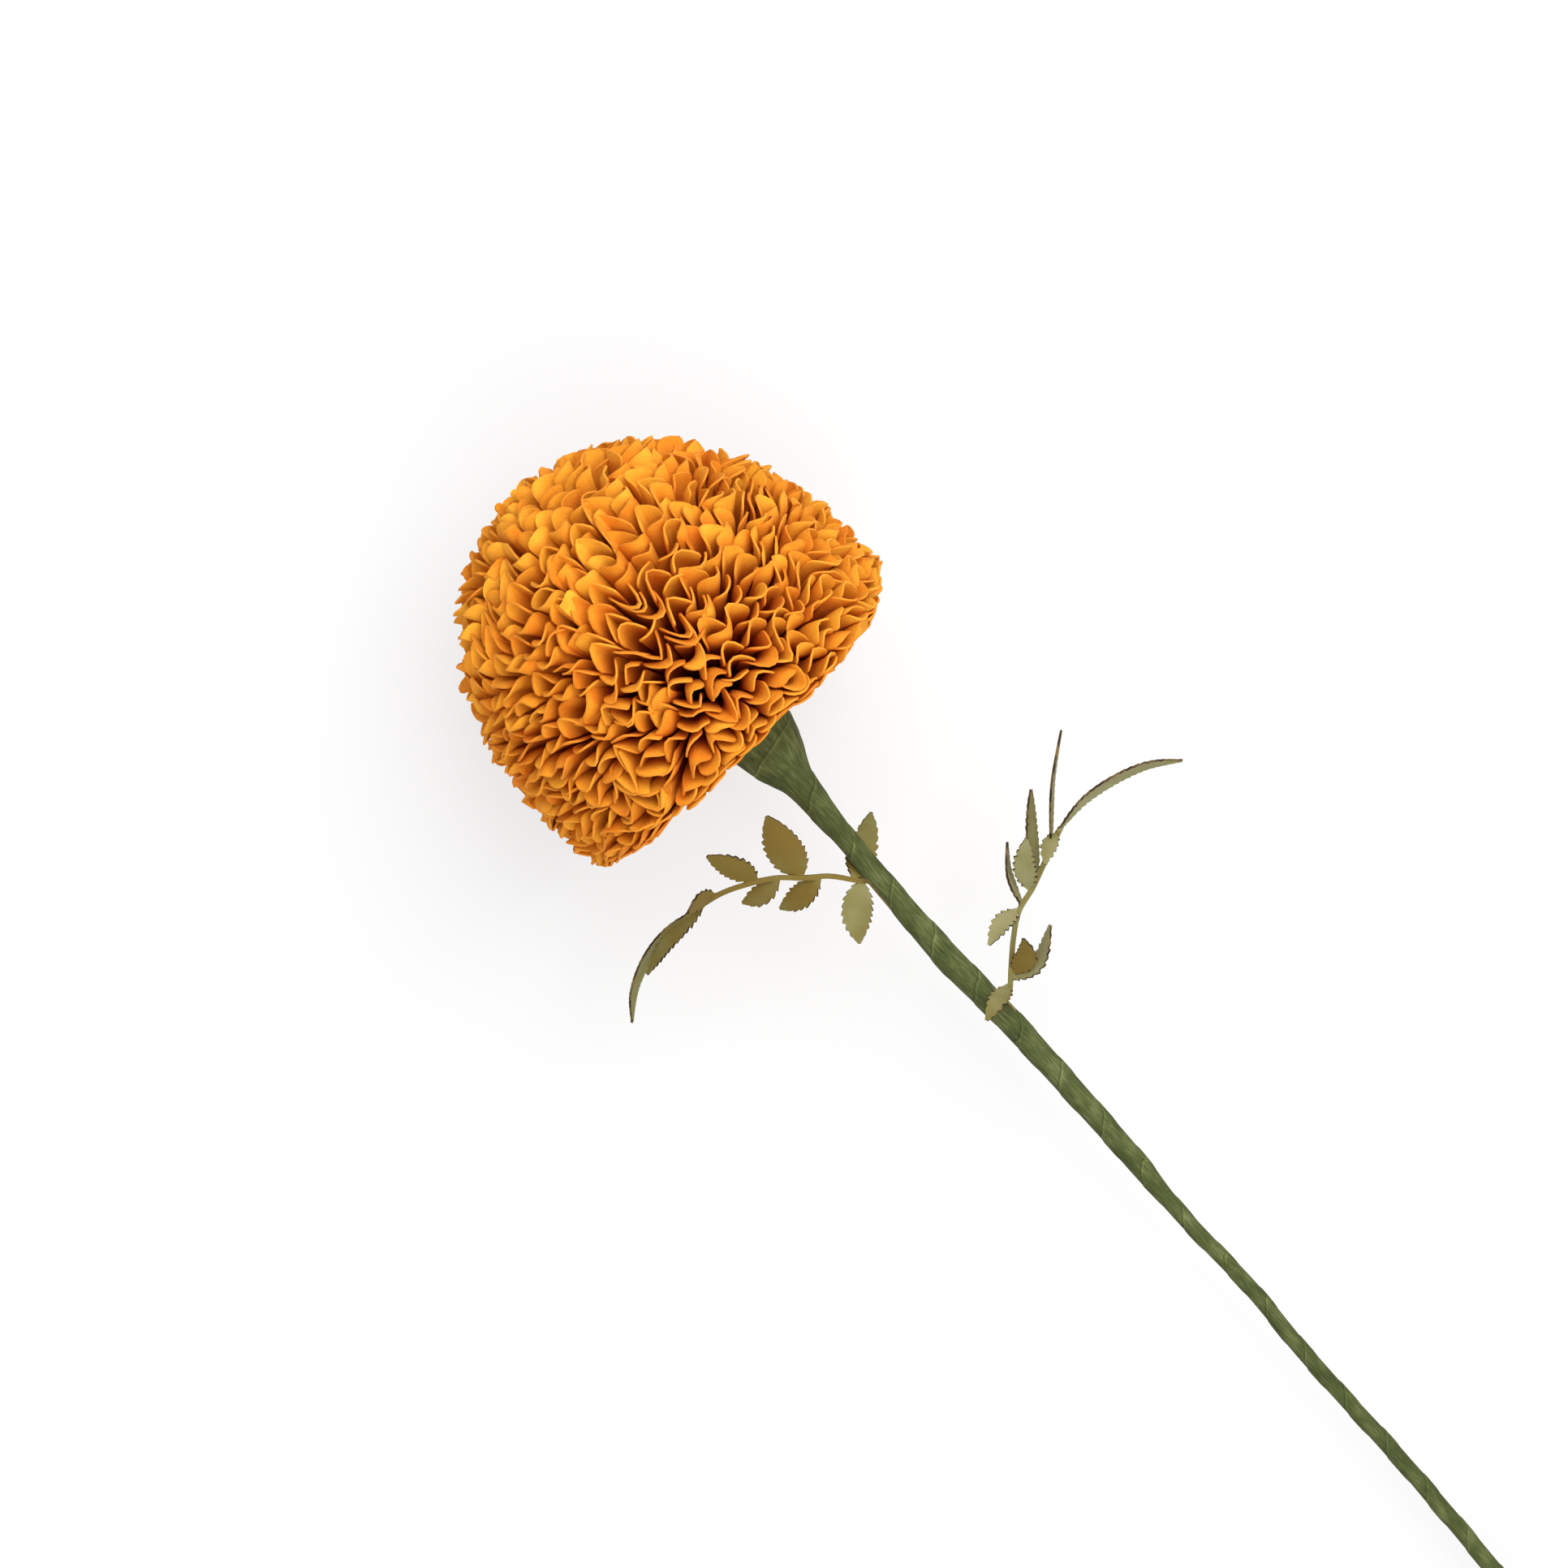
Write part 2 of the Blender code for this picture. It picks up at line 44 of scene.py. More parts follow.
# How the flower lies, in millimetres and degrees: its frames are worked out as for the solids
pose = {
    "rimPlace": (-1.85, 108.08), "stemLength": 285.0, "restingRadius": 40.1, "endRadius": 1.7,
    "headLean": 6.0, "headWidest": 15.0,
}


def stemFrame():
    taper = pose["restingRadius"] - pose["endRadius"]
    tilt = math.atan2(taper, pose["stemLength"] + pose["headWidest"])
    rise = pose["restingRadius"] * math.cos(tilt) - pose["headWidest"] * math.sin(tilt)
    place = Vector((*pose["rimPlace"], rise))
    return Matrix.Translation(place) @ Matrix.Rotation(tilt, 4, "X")


def headFrame():
    lean = Matrix.Rotation(math.radians(pose["headLean"]), 4, "Z")
    return stemFrame() @ lean @ Matrix.Rotation(math.radians(-90), 4, "X")


# General helpers

def deselectAll():
    bpy.ops.object.select_all(action="DESELECT")


def makeActive(piece):
    deselectAll()
    piece.select_set(True)
    bpy.context.view_layer.objects.active = piece


def applyAll(piece):
    makeActive(piece)
    for modifier in list(piece.modifiers):
        bpy.ops.object.modifier_apply(modifier=modifier.name)


def gridBlank(name, columns, rows):
    # a flat sheet of columns by rows faces, from -1 to 1 both ways, with its own UV map
    deselectAll()
    bpy.ops.mesh.primitive_grid_add(
        x_subdivisions=columns, y_subdivisions=rows, size=2, calc_uvs=True,
    )
    blank = bpy.context.object
    blank.name = name
    return blank


def gridSpots(mesh, columns, rows):
    # every point of a flat blank with its column and row
    for vert in mesh.vertices:
        yield vert, round((vert.co.x + 1) / 2 * columns), round((vert.co.y + 1) / 2 * rows)


def copyBlank(blank):
    piece = blank.copy()
    piece.data = blank.data.copy()
    bpy.context.scene.collection.objects.link(piece)
    return piece


def addMarks(mesh, *names):
    # values at the points, which the materials read
    for name in names:
        mesh.attributes.new(name, "FLOAT", "POINT")


def weldOutward(piece):
    # welds the points that meet and turns the normals outward
    makeActive(piece)
    bpy.ops.object.mode_set(mode="EDIT")
    bpy.ops.mesh.select_all(action="SELECT")
    bpy.ops.mesh.remove_doubles(threshold=weldDistance)
    bpy.ops.mesh.normals_make_consistent(inside=False)
    bpy.ops.object.mode_set(mode="OBJECT")


def joinPieces(pieces, name):
    # one welded object from its pieces
    deselectAll()
    for piece in pieces:
        piece.select_set(True)
    bpy.context.view_layer.objects.active = pieces[0]
    bpy.ops.object.join()
    whole = bpy.context.object
    whole.name = name
    whole.data.name = name
    weldOutward(whole)
    return whole


def thicken(piece, thickness, materials):
    # gives a sheet its thickness: the first material is on its faces, the second on its cut edge
    piece.data.materials.clear()
    for material in materials:
        piece.data.materials.append(material)
    wall = piece.modifiers.new("thickness", "SOLIDIFY")
    wall.thickness = thickness * mm
    wall.offset = 0
    wall.material_offset_rim = 1
    applyAll(piece)
    bpy.ops.object.shade_smooth_by_angle(angle=math.radians(sheetSmoothing))


def smoothValue(table, place):
    # the same smooth curve through a table's points as the solids use
    last = len(table) - 1
    if place <= table[0][0]:
        return table[0][1]
    if place >= table[last][0]:
        return table[last][1]
    spot = 0
    while table[spot + 1][0] < place:
        spot += 1
    slopes = []
    for at in (spot, spot + 1):
        before = table[max(at - 1, 0)]
        after = table[min(at + 1, last)]
        slopes.append((after[1] - before[1]) / (after[0] - before[0]))
    start, end = table[spot], table[spot + 1]
    step = end[0] - start[0]
    t = (place - start[0]) / step
    return (
        start[1] * (2 * t**3 - 3 * t**2 + 1) + end[1] * (3 * t**2 - 2 * t**3)
        + slopes[0] * step * (t**3 - 2 * t**2 + t) + slopes[1] * step * (t**3 - t**2)
    )


def mixed(a, b, share):
    return a + (b - a) * share


def clamped(value, low=0.0, high=1.0):
    return min(max(value, low), high)


# Shader helpers

def newMaterial(name):
    material = bpy.data.materials.new(name)
    material.use_nodes = True
    return material, material.node_tree, material.node_tree.nodes["Principled BSDF"]


def addNode(tree, kind, **settings):
    node = tree.nodes.new(kind)
    for key, value in settings.items():
        setattr(node, key, value)
    return node


def feed(tree, node, **links):
    # inputs by name with underscores for spaces, or by n and a number; sockets are linked
    for key, value in links.items():
        numbered = key[0] == "n" and key[1:].isdigit()
        socket = node.inputs[int(key[1:]) if numbered else key.replace("_", " ")]
        if isinstance(value, bpy.types.NodeSocket):
            tree.links.new(value, socket)
        else:
            socket.default_value = value
    return node


def colourRamp(tree, source, stops):
    ramp = addNode(tree, "ShaderNodeValToRGB")
    tree.links.new(source, ramp.inputs["Fac"])
    elements = ramp.color_ramp.elements
    while len(elements) < len(stops):
        elements.new(0.5)
    for element, (place, colour) in zip(elements, stops):
        element.position = place
        element.color = (*colour, 1)
    return ramp.outputs["Color"]


def mixColour(tree, share, first, second, blend="MIX"):
    mix = addNode(tree, "ShaderNodeMix", data_type="RGBA", blend_type=blend)
    for socket, value in ((mix.inputs[0], share), (mix.inputs[6], first), (mix.inputs[7], second)):
        if isinstance(value, bpy.types.NodeSocket):
            tree.links.new(value, socket)
        elif isinstance(value, tuple):
            socket.default_value = (*value, 1)
        else:
            socket.default_value = value
    return mix.outputs[2]


def maths(tree, operation, first, second=0.5, clamp=False):
    node = addNode(tree, "ShaderNodeMath", operation=operation, use_clamp=clamp)
    feed(tree, node, n0=first, n1=second)
    return node.outputs[0]


grainLooks = {
    "sockets": (
        ("INPUT", "Vector", "NodeSocketVector"), ("INPUT", "Fibre Scale", "NodeSocketFloat"),
        ("INPUT", "Cloud Scale", "NodeSocketFloat"), ("INPUT", "Relief", "NodeSocketFloat"),
        ("OUTPUT", "Fibres", "NodeSocketFloat"), ("OUTPUT", "Clouds", "NodeSocketFloat"),
        ("OUTPUT", "Normal", "NodeSocketVector"),
    ),
    "fibreDetail": 3.0, "fibreRoughness": 0.65, "cloudDetail": 2.0, "bumpDistance": 0.0004,
}


def paperGrain():
    # fine fibres and soft clouds of a handmade paper; gives two masks and a bumped normal
    group = bpy.data.node_groups.new("paperGrain", "ShaderNodeTree")
    for way, name, kind in grainLooks["sockets"]:
        group.interface.new_socket(name, in_out=way, socket_type=kind)
    given = addNode(group, "NodeGroupInput")
    made = addNode(group, "NodeGroupOutput")
    fibres = addNode(group, "ShaderNodeTexNoise")
    feed(
        group, fibres, Vector=given.outputs["Vector"], Scale=given.outputs["Fibre Scale"],
        Detail=grainLooks["fibreDetail"], Roughness=grainLooks["fibreRoughness"],
    )
    clouds = addNode(group, "ShaderNodeTexNoise")
    feed(
        group, clouds, Vector=given.outputs["Vector"], Scale=given.outputs["Cloud Scale"],
        Detail=grainLooks["cloudDetail"],
    )
    bump = addNode(group, "ShaderNodeBump")
    feed(
        group, bump, Height=fibres.outputs["Fac"], Strength=given.outputs["Relief"],
        Distance=grainLooks["bumpDistance"],
    )
    feed(
        group, made, Fibres=fibres.outputs["Fac"], Clouds=clouds.outputs["Fac"],
        Normal=bump.outputs["Normal"],
    )
    return group


def placeGrain(tree, group, source, fibreScale, cloudScale, relief):
    node = addNode(tree, "ShaderNodeGroup")
    node.node_tree = group
    feed(tree, node, Vector=source, Fibre_Scale=fibreScale, Cloud_Scale=cloudScale, Relief=relief)
    return node


# Petals: paper discs on the wire, cut into petals that are folded and curled one by one.
# There are more discs than layers of the solids, and each belongs to its nearest layer.

petals = {
    # the head's outline, and the fan of discs that fills it
    "headRadius": 40.7, "headTop": 66.5, "headWidest": 15.0, "headBottom": -2.5, "reachStep": 0.01,
    "crownFullness": 2.1, "skirtFullness": 6.0, "layers": 21, "discs": 34, "paper": 0.4,
    "lowestAngle": -20.0, "highestAngle": 90.0, "hubStart": 8.45, "hubHeight": 18.0,
    "bottomHubRadius": 10.2, "boreRadius": 1.1,
    # petals round a disc
    "seed": 7, "looksSeed": 1007, "pitch": 6.2, "fewest": 7, "widthSpread": 0.15,
    "shortest": 0.97, "longest": 1.018, "smallestTipRing": 2.5,
    "slit": 0.7, "slitStart": 0.5, "slitTaper": 0.5,
    # folds, stronger in some patches of the head than in others
    "foldHeight": 2.2, "foldStart": 1.4, "foldSpread": (0.8, 1.2), "gentlestFold": 0.75,
    "gentlestShoulder": 0.5, "cupped": 0.18, "cuppedRise": 0.3, "creaseShift": 0.3,
    "sharpness": (1.2, 1.5, 1.8, 2.2), "twist": 0.6, "calmFolds": 14.0, "foldPatch": 21.0,
    "patchShift": (31, 7, 5), "patchMean": 0.8, "patchGain": 1.1, "gentlest": 0.6,
    "strongest": 1.25,
    # settling on the disc below
    "follow": 0.5, "highestFold": 4.2, "clearance": 0.62, "settlePasses": 6, "settleSteps": 9,
    "openBelow": -9.0,
    # swell of each disc
    "waveHeight": 1.3, "waveLength": 11.0, "waveRise": 26.0, "calmRadius": 18.0,
    # round ends and their curl
    "roundness": 0.76, "squareness": 2.1, "roundSpread": (0.8, 1.15), "lopsided": 0.2,
    "tuckStart": 0.6, "curlAngle": 56.0, "curlBend": 5.6, "curlPatch": 11.0, "curlGain": 2.6,
    "curlSpread": (0.6, 1.1), "leastCurl": 0.01, "curlLength": 0.3,
    # rim beside the calyx
    "rimHeight": 2.7, "rimStep": 0.4, "rimSoft": 5.0, "rimRagged": 0.9,
    "rimBulge": 3.2, "bulgeStart": 6.0, "bulgeEnd": 38.0,
    # sheet that each petal is shaped from: places across it and along it
    "columns": (-1.0, -0.92, -0.7, -0.38, 0.0, 0.38, 0.7, 0.92, 1.0),
    "rows": (0.0, 0.5, 0.74, 0.82, 0.89, 0.95, 1.0),
    # paper, and the painted shade deep between the petals towards the hub
    "litPaper": (0.92, 0.42, 0.028), "midPaper": (0.77, 0.222, 0.008),
    "paintedShadePaper": (0.52, 0.075, 0.003), "edgePaper": (0.80, 0.31, 0.022),
    "darkEdge": (0.66, 0.20, 0.011), "fibreLow": (0.86, 0.84, 0.80), "fibreHigh": (1.0, 1.0, 1.0),
    "fibreScale": 2600.0, "cloudScale": 260.0, "relief": 0.35, "cloudShare": 0.7, "toneShare": 0.35,
    "paintedShadeFull": 0.68, "paintedShadeGone": 0.97, "roughness": 0.82, "shine": 0.25,
}


def domeRadius(height):
    if height > petals["headWidest"]:
        part = (height - petals["headWidest"]) / (petals["headTop"] - petals["headWidest"])
        fullness = petals["crownFullness"]
    else:
        part = (petals["headWidest"] - height) / (petals["headWidest"] - petals["headBottom"])
        fullness = petals["skirtFullness"]
    return 0.0 if part >= 1 else petals["headRadius"] * (1 - part**fullness) ** (1 / fullness)


def petalReach(radius, height, angle):
    # length from a hub's edge out to the head's outline
    short, far = 0.0, 2 * petals["headTop"]
    while far - short > petals["reachStep"]:
        length = (short + far) / 2
        if radius + length * math.cos(angle) < domeRadius(height + length * math.sin(angle)):
            short = length
        else:
            far = length
    return short


def discPlan():
    # hub and petal line of every paper disc, from the calyx up
    last = petals["discs"] - 1
    step = math.radians(petals["highestAngle"] - petals["lowestAngle"]) / last
    pitch = petals["hubHeight"] / last
    radius, height = petals["bottomHubRadius"], petals["hubStart"]
    discs = []
    for number in range(petals["discs"]):
        angle = math.radians(petals["lowestAngle"]) + number * step
        if number > 0:
            radius -= pitch * math.tan(max(angle, 0) / 2)
            height += pitch
        length = petalReach(radius, height, angle)
        discs.append({
            "number": number, "layer": 1 + round(number * (petals["layers"] - 1) / last),
            "radius": radius, "height": height, "angle": angle, "length": length,
            "tipRadius": radius + length * math.cos(angle),
            "spacing": pitch + length * math.tan(step),
        })
    return discs


def petalPoint(disc, turn, reach, lift):
    angle = disc["angle"]
    out = disc["length"] * reach
    radius = disc["radius"] + out * math.cos(angle)
    height = disc["height"] + out * math.sin(angle)
    x, y = radius * math.cos(turn), radius * math.sin(turn)
    wave = petals["waveLength"]
    swell = noise.noise(Vector((x / wave, y / wave, height / petals["waveRise"])))
    lift += petals["waveHeight"] * reach * min(1, radius / petals["calmRadius"]) * swell
    radius -= lift * math.sin(angle)
    height += lift * math.cos(angle)
    return Vector((radius * math.cos(turn), radius * math.sin(turn), height))


def petalFolds(rng):
    # lifts at the left edge, the fold and the right edge, drawn as for the solids
    sense = rng.choice((-1, 1))
    if rng.random() < petals["cupped"]:
        return (sense, rng.uniform(-petals["cuppedRise"], petals["cuppedRise"]), -sense)
    left = -sense * rng.uniform(petals["gentlestShoulder"], 1)
    middle = sense * rng.uniform(petals["gentlestFold"], 1)
    right = -sense * rng.uniform(petals["gentlestShoulder"], 1)
    return (left, middle, right)


def petalList(disc):
    # place, width, length and folds of every petal round the disc
    rng = random.Random(petals["seed"] + disc["number"])
    tipRadius = disc["tipRadius"]
    count = max(petals["fewest"], round(2 * math.pi * tipRadius / petals["pitch"]))
    spread = petals["widthSpread"]
    shares = [rng.uniform(1 - spread, 1 + spread) for _ in range(count)]
    turn = rng.uniform(0, 2 * math.pi)
    found = []
    for share in shares:
        width = 2 * math.pi * share / sum(shares)
        tip = rng.uniform(petals["shortest"], petals["longest"])
        folds = petalFolds(rng)
        slit = petals["slit"] / max(tipRadius, petals["smallestTipRing"]) / 2
        found.append({"turn": turn, "width": width, "tip": tip, "folds": folds, "slit": slit})
        turn += width
    return found


def liftAcross(petal, across):
    # lift of the petal's end at a place across it, from -1 on the left to 1 on the right
    left, middle, right = petal["lifts"]
    crease = petal["crease"]
    side = left if across < crease else right
    away = (crease - across) / (crease + 1) if across < crease else (across - crease) / (1 - crease)
    return mixed(middle, side, clamped(away) ** petal["sharpness"])


def liftBelow(ring, turn):
    # lift of the finished disc below at this turn
    for petal in ring:
        across = (turn - petal["turn"]) % (2 * math.pi) / petal["width"]
        if across <= 1:
            return liftAcross(petal, 2 * across - 1)
    return 0.0


def settlePetal(disc, petal, ring, looks):
    # folds the petal, lets it follow the disc below and raises it where it would cut through
    spacing = disc["spacing"]
    calm = min(1, disc["tipRadius"] / petals["calmFolds"])
    middle = petalPoint(disc, petal["turn"] + petal["width"] / 2, 1, 0)
    patch = noise.noise(middle / petals["foldPatch"] + Vector(petals["patchShift"]))
    strength = petals["patchMean"] + petals["patchGain"] * patch
    calm *= clamped(strength, petals["gentlest"], petals["strongest"])
    twist = looks.uniform(-1, 1) * petals["twist"]
    petal["crease"] = looks.uniform(-petals["creaseShift"], petals["creaseShift"])
    petal["sharpness"] = looks.choice(petals["sharpness"])
    places = (-1, petal["crease"], 1)
    lifts = []
    for place, fold in zip(places, petal["folds"]):
        turn = petal["turn"] + petal["width"] * (place + 1) / 2
        followed = petals["follow"] * liftBelow(ring, turn) if ring else 0.0
        folded = calm * fold * petals["foldHeight"] * looks.uniform(*petals["foldSpread"])
        lifts.append(folded + followed + twist * place)
    highest = petals["highestFold"]
    petal["lifts"] = [clamped(lift, -highest, highest) for lift in lifts]
    for _ in range(petals["settlePasses"]):
        worst = [0.0, 0.0, 0.0]
        for step in range(petals["settleSteps"]):
            across = 2 * step / (petals["settleSteps"] - 1) - 1
            turn = petal["turn"] + petal["width"] * (across + 1) / 2
            below = liftBelow(ring, turn) if ring else petals["openBelow"]
            short = below - spacing + petals["clearance"] - liftAcross(petal, across)
            if short > 0:
                near = min(range(3), key=lambda spot: abs(places[spot] - across))
                worst[near] = max(worst[near], short)
        if not any(worst):
            break
        petal["lifts"] = [lift + short for lift, short in zip(petal["lifts"], worst)]


def petalBlank():
    # the flat strip that every petal is shaped from: its first row lies round the wire
    blank = gridBlank("petalBlank", len(petals["columns"]) - 1, len(petals["rows"]))
    addMarks(blank.data, "petalTone", "petalReach")
    return blank


def shapePetal(piece, disc, petal, toWorld, looks):
    # cut round at its end, folded along its middle and curled
    tone = looks.random()
    length = disc["length"]
    tipRadius = max(disc["tipRadius"], petals["smallestTipRing"])
    roundness = petals["roundness"] * looks.uniform(*petals["roundSpread"])
    corner = roundness * tipRadius * petal["width"] / 2
    lop = looks.uniform(-petals["lopsided"], petals["lopsided"])
    middle = petalPoint(disc, petal["turn"] + petal["width"] / 2, 1, 0)
    patch = clamped(petals["curlGain"] * noise.noise(middle / petals["curlPatch"]), -1, 1)
    curl = math.radians(petals["curlAngle"]) * patch
    curl = curl * looks.uniform(*petals["curlSpread"]) + petals["leastCurl"]
    bend = petals["curlBend"]
    square = petals["squareness"]
    tuckStart, slitStart = petals["tuckStart"], petals["slitStart"]
    mesh = piece.data
    tones = mesh.attributes["petalTone"].data
    depths = mesh.attributes["petalReach"].data
    for vert, column, line in gridSpots(mesh, len(petals["columns"]) - 1, len(petals["rows"])):
        across = petals["columns"][column]
        row = petals["rows"][max(line - 1, 0)]
        tuck = clamped((row - tuckStart) / (1 - tuckStart)) ** 2
        drop = (1 - (1 - abs(across) ** square) ** (1 / square)) * (1 + lop * across)
        far = row * petal["tip"] * length + petals["curlLength"] * abs(curl) - tuck * corner * drop
        opened = clamped((row - slitStart) / (1 - slitStart)) ** petals["slitTaper"]
        half = petal["width"] / 2 - petal["slit"] * opened
        turn = petal["turn"] + petal["width"] / 2 + across * half
        lift = liftAcross(petal, across) * clamped(far / length) ** petals["foldStart"]
        bent = far - petal["tip"] * length + bend
        if bent > 0:
            far += bend / curl * math.sin(curl * bent / bend) - bent
            lift += bend / curl * (1 - math.cos(curl * bent / bend))
        point = petalPoint(disc, turn, far / length, lift)
        point.z = rimLift(point, petals["rimStep"] * disc["number"])
        if line == 0:
            point = Vector((math.cos(turn), math.sin(turn), 0)) * petals["boreRadius"]
            point.z = disc["height"]
        world = toWorld @ point
        world.z = max(world.z, petals["paper"] / 2)
        vert.co = world * mm
        tones[vert.index].value = tone
        # the lowest disc is seen over its whole underside, so all of it counts as a tip and gets
        # none of the painted shade
        depths[vert.index].value = far / length if disc["number"] else 1.0


def rimLift(point, above):
    # petals that droop lower than the head's rim level off towards it; it hangs lower on one side
    side = clamped((point.x - petals["bulgeStart"]) / (petals["bulgeEnd"] - petals["bulgeStart"]))
    ragged = petals["rimRagged"] * noise.noise(Vector((point.x, point.y, 0)) / petals["waveLength"])
    lowest = petals["rimHeight"] + above + ragged - petals["rimBulge"] * math.sin(math.pi * side)
    soft = petals["rimSoft"]
    drop = lowest + soft - point.z
    return point.z if drop <= 0 else lowest + soft * math.exp(-drop / soft)


def petalDisc(disc, below, toWorld, blank):
    # every petal of one disc, each settled on the disc below
    looks = random.Random(petals["looksSeed"] + disc["number"])
    ring = petalList(disc)
    pieces = []
    for petal in ring:
        settlePetal(disc, petal, below, looks)
        piece = copyBlank(blank)
        shapePetal(piece, disc, petal, toWorld, looks)
        pieces.append(piece)
    return ring, pieces


def allPetals(toWorld):
    # the discs from the calyx up, joined into one piece for each layer of the solids
    blank = petalBlank()
    ring = []
    gathered = {}
    for disc in discPlan():
        ring, pieces = petalDisc(disc, ring, toWorld, blank)
        gathered.setdefault(disc["layer"], []).extend(pieces)
    for number, pieces in gathered.items():
        whole = joinPieces(pieces, f"petals{number:02d}")
        thicken(whole, petals["paper"], (paperMaterial, paperEdgeMaterial))
        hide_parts(f"petal_layer_{number:02d}")
        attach(whole, "root")
    bpy.data.objects.remove(blank, do_unlink=True)


def petalMaterial(name, group, light, dark):
    # dark to light in clouds and from petal to petal, and painted shade, darker and redder, away
    # from the petals' tips, where they lie deep in each other's shade
    material, tree, shader = newMaterial(name)
    coords = addNode(tree, "ShaderNodeTexCoord").outputs["Object"]
    tone = addNode(tree, "ShaderNodeAttribute", attribute_name="petalTone").outputs["Fac"]
    reach = addNode(tree, "ShaderNodeAttribute", attribute_name="petalReach").outputs["Fac"]
    grain = placeGrain(
        tree, group, coords, petals["fibreScale"], petals["cloudScale"], petals["relief"],
    )
    clouds = maths(tree, "MULTIPLY", grain.outputs["Clouds"], petals["cloudShare"])
    clouds = maths(tree, "ADD", clouds, maths(tree, "MULTIPLY", tone, petals["toneShare"]))
    paperColour = colourRamp(tree, clouds, [(0.25, dark), (0.75, light)])
    speckle = colourRamp(
        tree, grain.outputs["Fibres"], [(0.3, petals["fibreLow"]), (0.7, petals["fibreHigh"])],
    )
    paperColour = mixColour(tree, 1.0, paperColour, speckle, "MULTIPLY")
    # painted shade of the gaps between petals: full near the hub, fading out before the tips
    paintedShade = colourRamp(
        tree, reach, [(petals["paintedShadeFull"], (1, 1, 1)), (petals["paintedShadeGone"], (0, 0, 0))],
    )
    colour = mixColour(tree, paintedShade, paperColour, petals["paintedShadePaper"])
    feed(
        tree, shader, Base_Color=colour, Roughness=petals["roughness"],
        Specular_IOR_Level=petals["shine"], Normal=grain.outputs["Normal"],
    )
    return material


# Wound tape

tape = {
    # sheet round the stem, and the line of the stem
    "top": -7.9, "sides": 40, "rowStep": 0.6, "wireRadius": 1.0, "lip": 0.02, "smoothing": 55.0,
    "widths": [
        (-8.0, 17.0), (-4.0, 16.2), (0.0, 15.0), (2.5, 13.7), (5.0, 12.4), (7.0, 11.0), (9.3, 8.9),
        (11.6, 7.2), (14.0, 6.3), (18.0, 5.6), (25.0, 4.5), (32.0, 4.5), (45.0, 4.8), (58.0, 5.5),
        (66.0, 5.3), (80.0, 5.0), (98.0, 4.6), (114.0, 4.2), (121.0, 3.4), (150.0, 3.2),
        (200.0, 3.4), (240.0, 3.5), (275.0, 3.4),
    ],
    "sway": [
        (0.0, 0.0), (30.0, -0.2), (56.0, -0.1), (75.0, 1.2), (107.0, 2.1), (126.0, 2.2),
        (145.0, 3.2), (163.0, 3.0), (195.0, 3.9), (240.0, 3.6), (275.0, 3.5),
    ],
    # turns of the tape, and how they wander and swell
    "windPitch": 12.2, "overlap": 0.34, "step": 0.15, "sunk": 0.6, "soft": 0.04, "softBack": 0.12,
    "wander": 0.10, "wanderLength": 17.0, "wanderRound": 2.0, "wanderPlace": 3.1,
    "lumps": 0.07, "lumpLength": 9.0,
    # crepe: its wrinkles, whose colour paints shade in their hollows and light on their ridges, its
    # clouds of tone, and the painted light and shadow at the edge of each turn
    "girth": 15.0, "lay": 40.0, "wrinkleScale": (3.2, 0.28, 1.0), "wrinkleDetail": 3.0,
    "wrinkleRoughness": 0.6, "wrinkleShadeShare": 0.55, "cloudShare": 0.45, "wrinkleRelief": 0.6,
    "wrinkleDepth": 0.0003, "fibreScale": 3.0, "cloudScale": 0.16, "relief": 0.2,
    "seamShow": 0.38, "seam": [
        (0.0, 0.5), (0.01, 1.0), (0.035, 1.0), (0.06, 0.5), (0.955, 0.5), (0.99, 0.0),
    ],
    "dark": (0.026, 0.033, 0.009), "mid": (0.059, 0.073, 0.019), "light": (0.145, 0.158, 0.060),
    "roughness": 0.85, "shine": 0.2,
}


def stemPoint(distance):
    if distance < 0:
        lean = math.radians(pose["headLean"])
        return Vector((math.sin(lean) * distance, -math.cos(lean) * distance, 0))
    return Vector((smoothValue(tape["sway"], distance), -distance, 0))


def windPhase(distance, around):
    # turns of the tape counted along the stem: whole numbers lie on the edges of the turns
    spot = Vector((
        distance / tape["wanderLength"],
        tape["wanderRound"] * math.sin(2 * math.pi * around),
        tape["wanderPlace"],
    ))
    return distance / tape["windPitch"] - around + tape["wander"] * noise.noise(spot)


def tapeRelief(distance, around):
    # thickness of the wound turns: a crisp outer edge, then a softer step back down
    phase = windPhase(distance, around) % 1
    edge = clamped(phase / tape["soft"])
    back = clamped((phase - tape["overlap"]) / tape["softBack"])
    turn = 2 * math.pi * around
    lumps = noise.noise(Vector((distance / tape["lumpLength"], math.cos(turn), math.sin(turn))))
    return tape["step"] * (edge * (1 - back) - tape["sunk"]) + tape["lumps"] * lumps


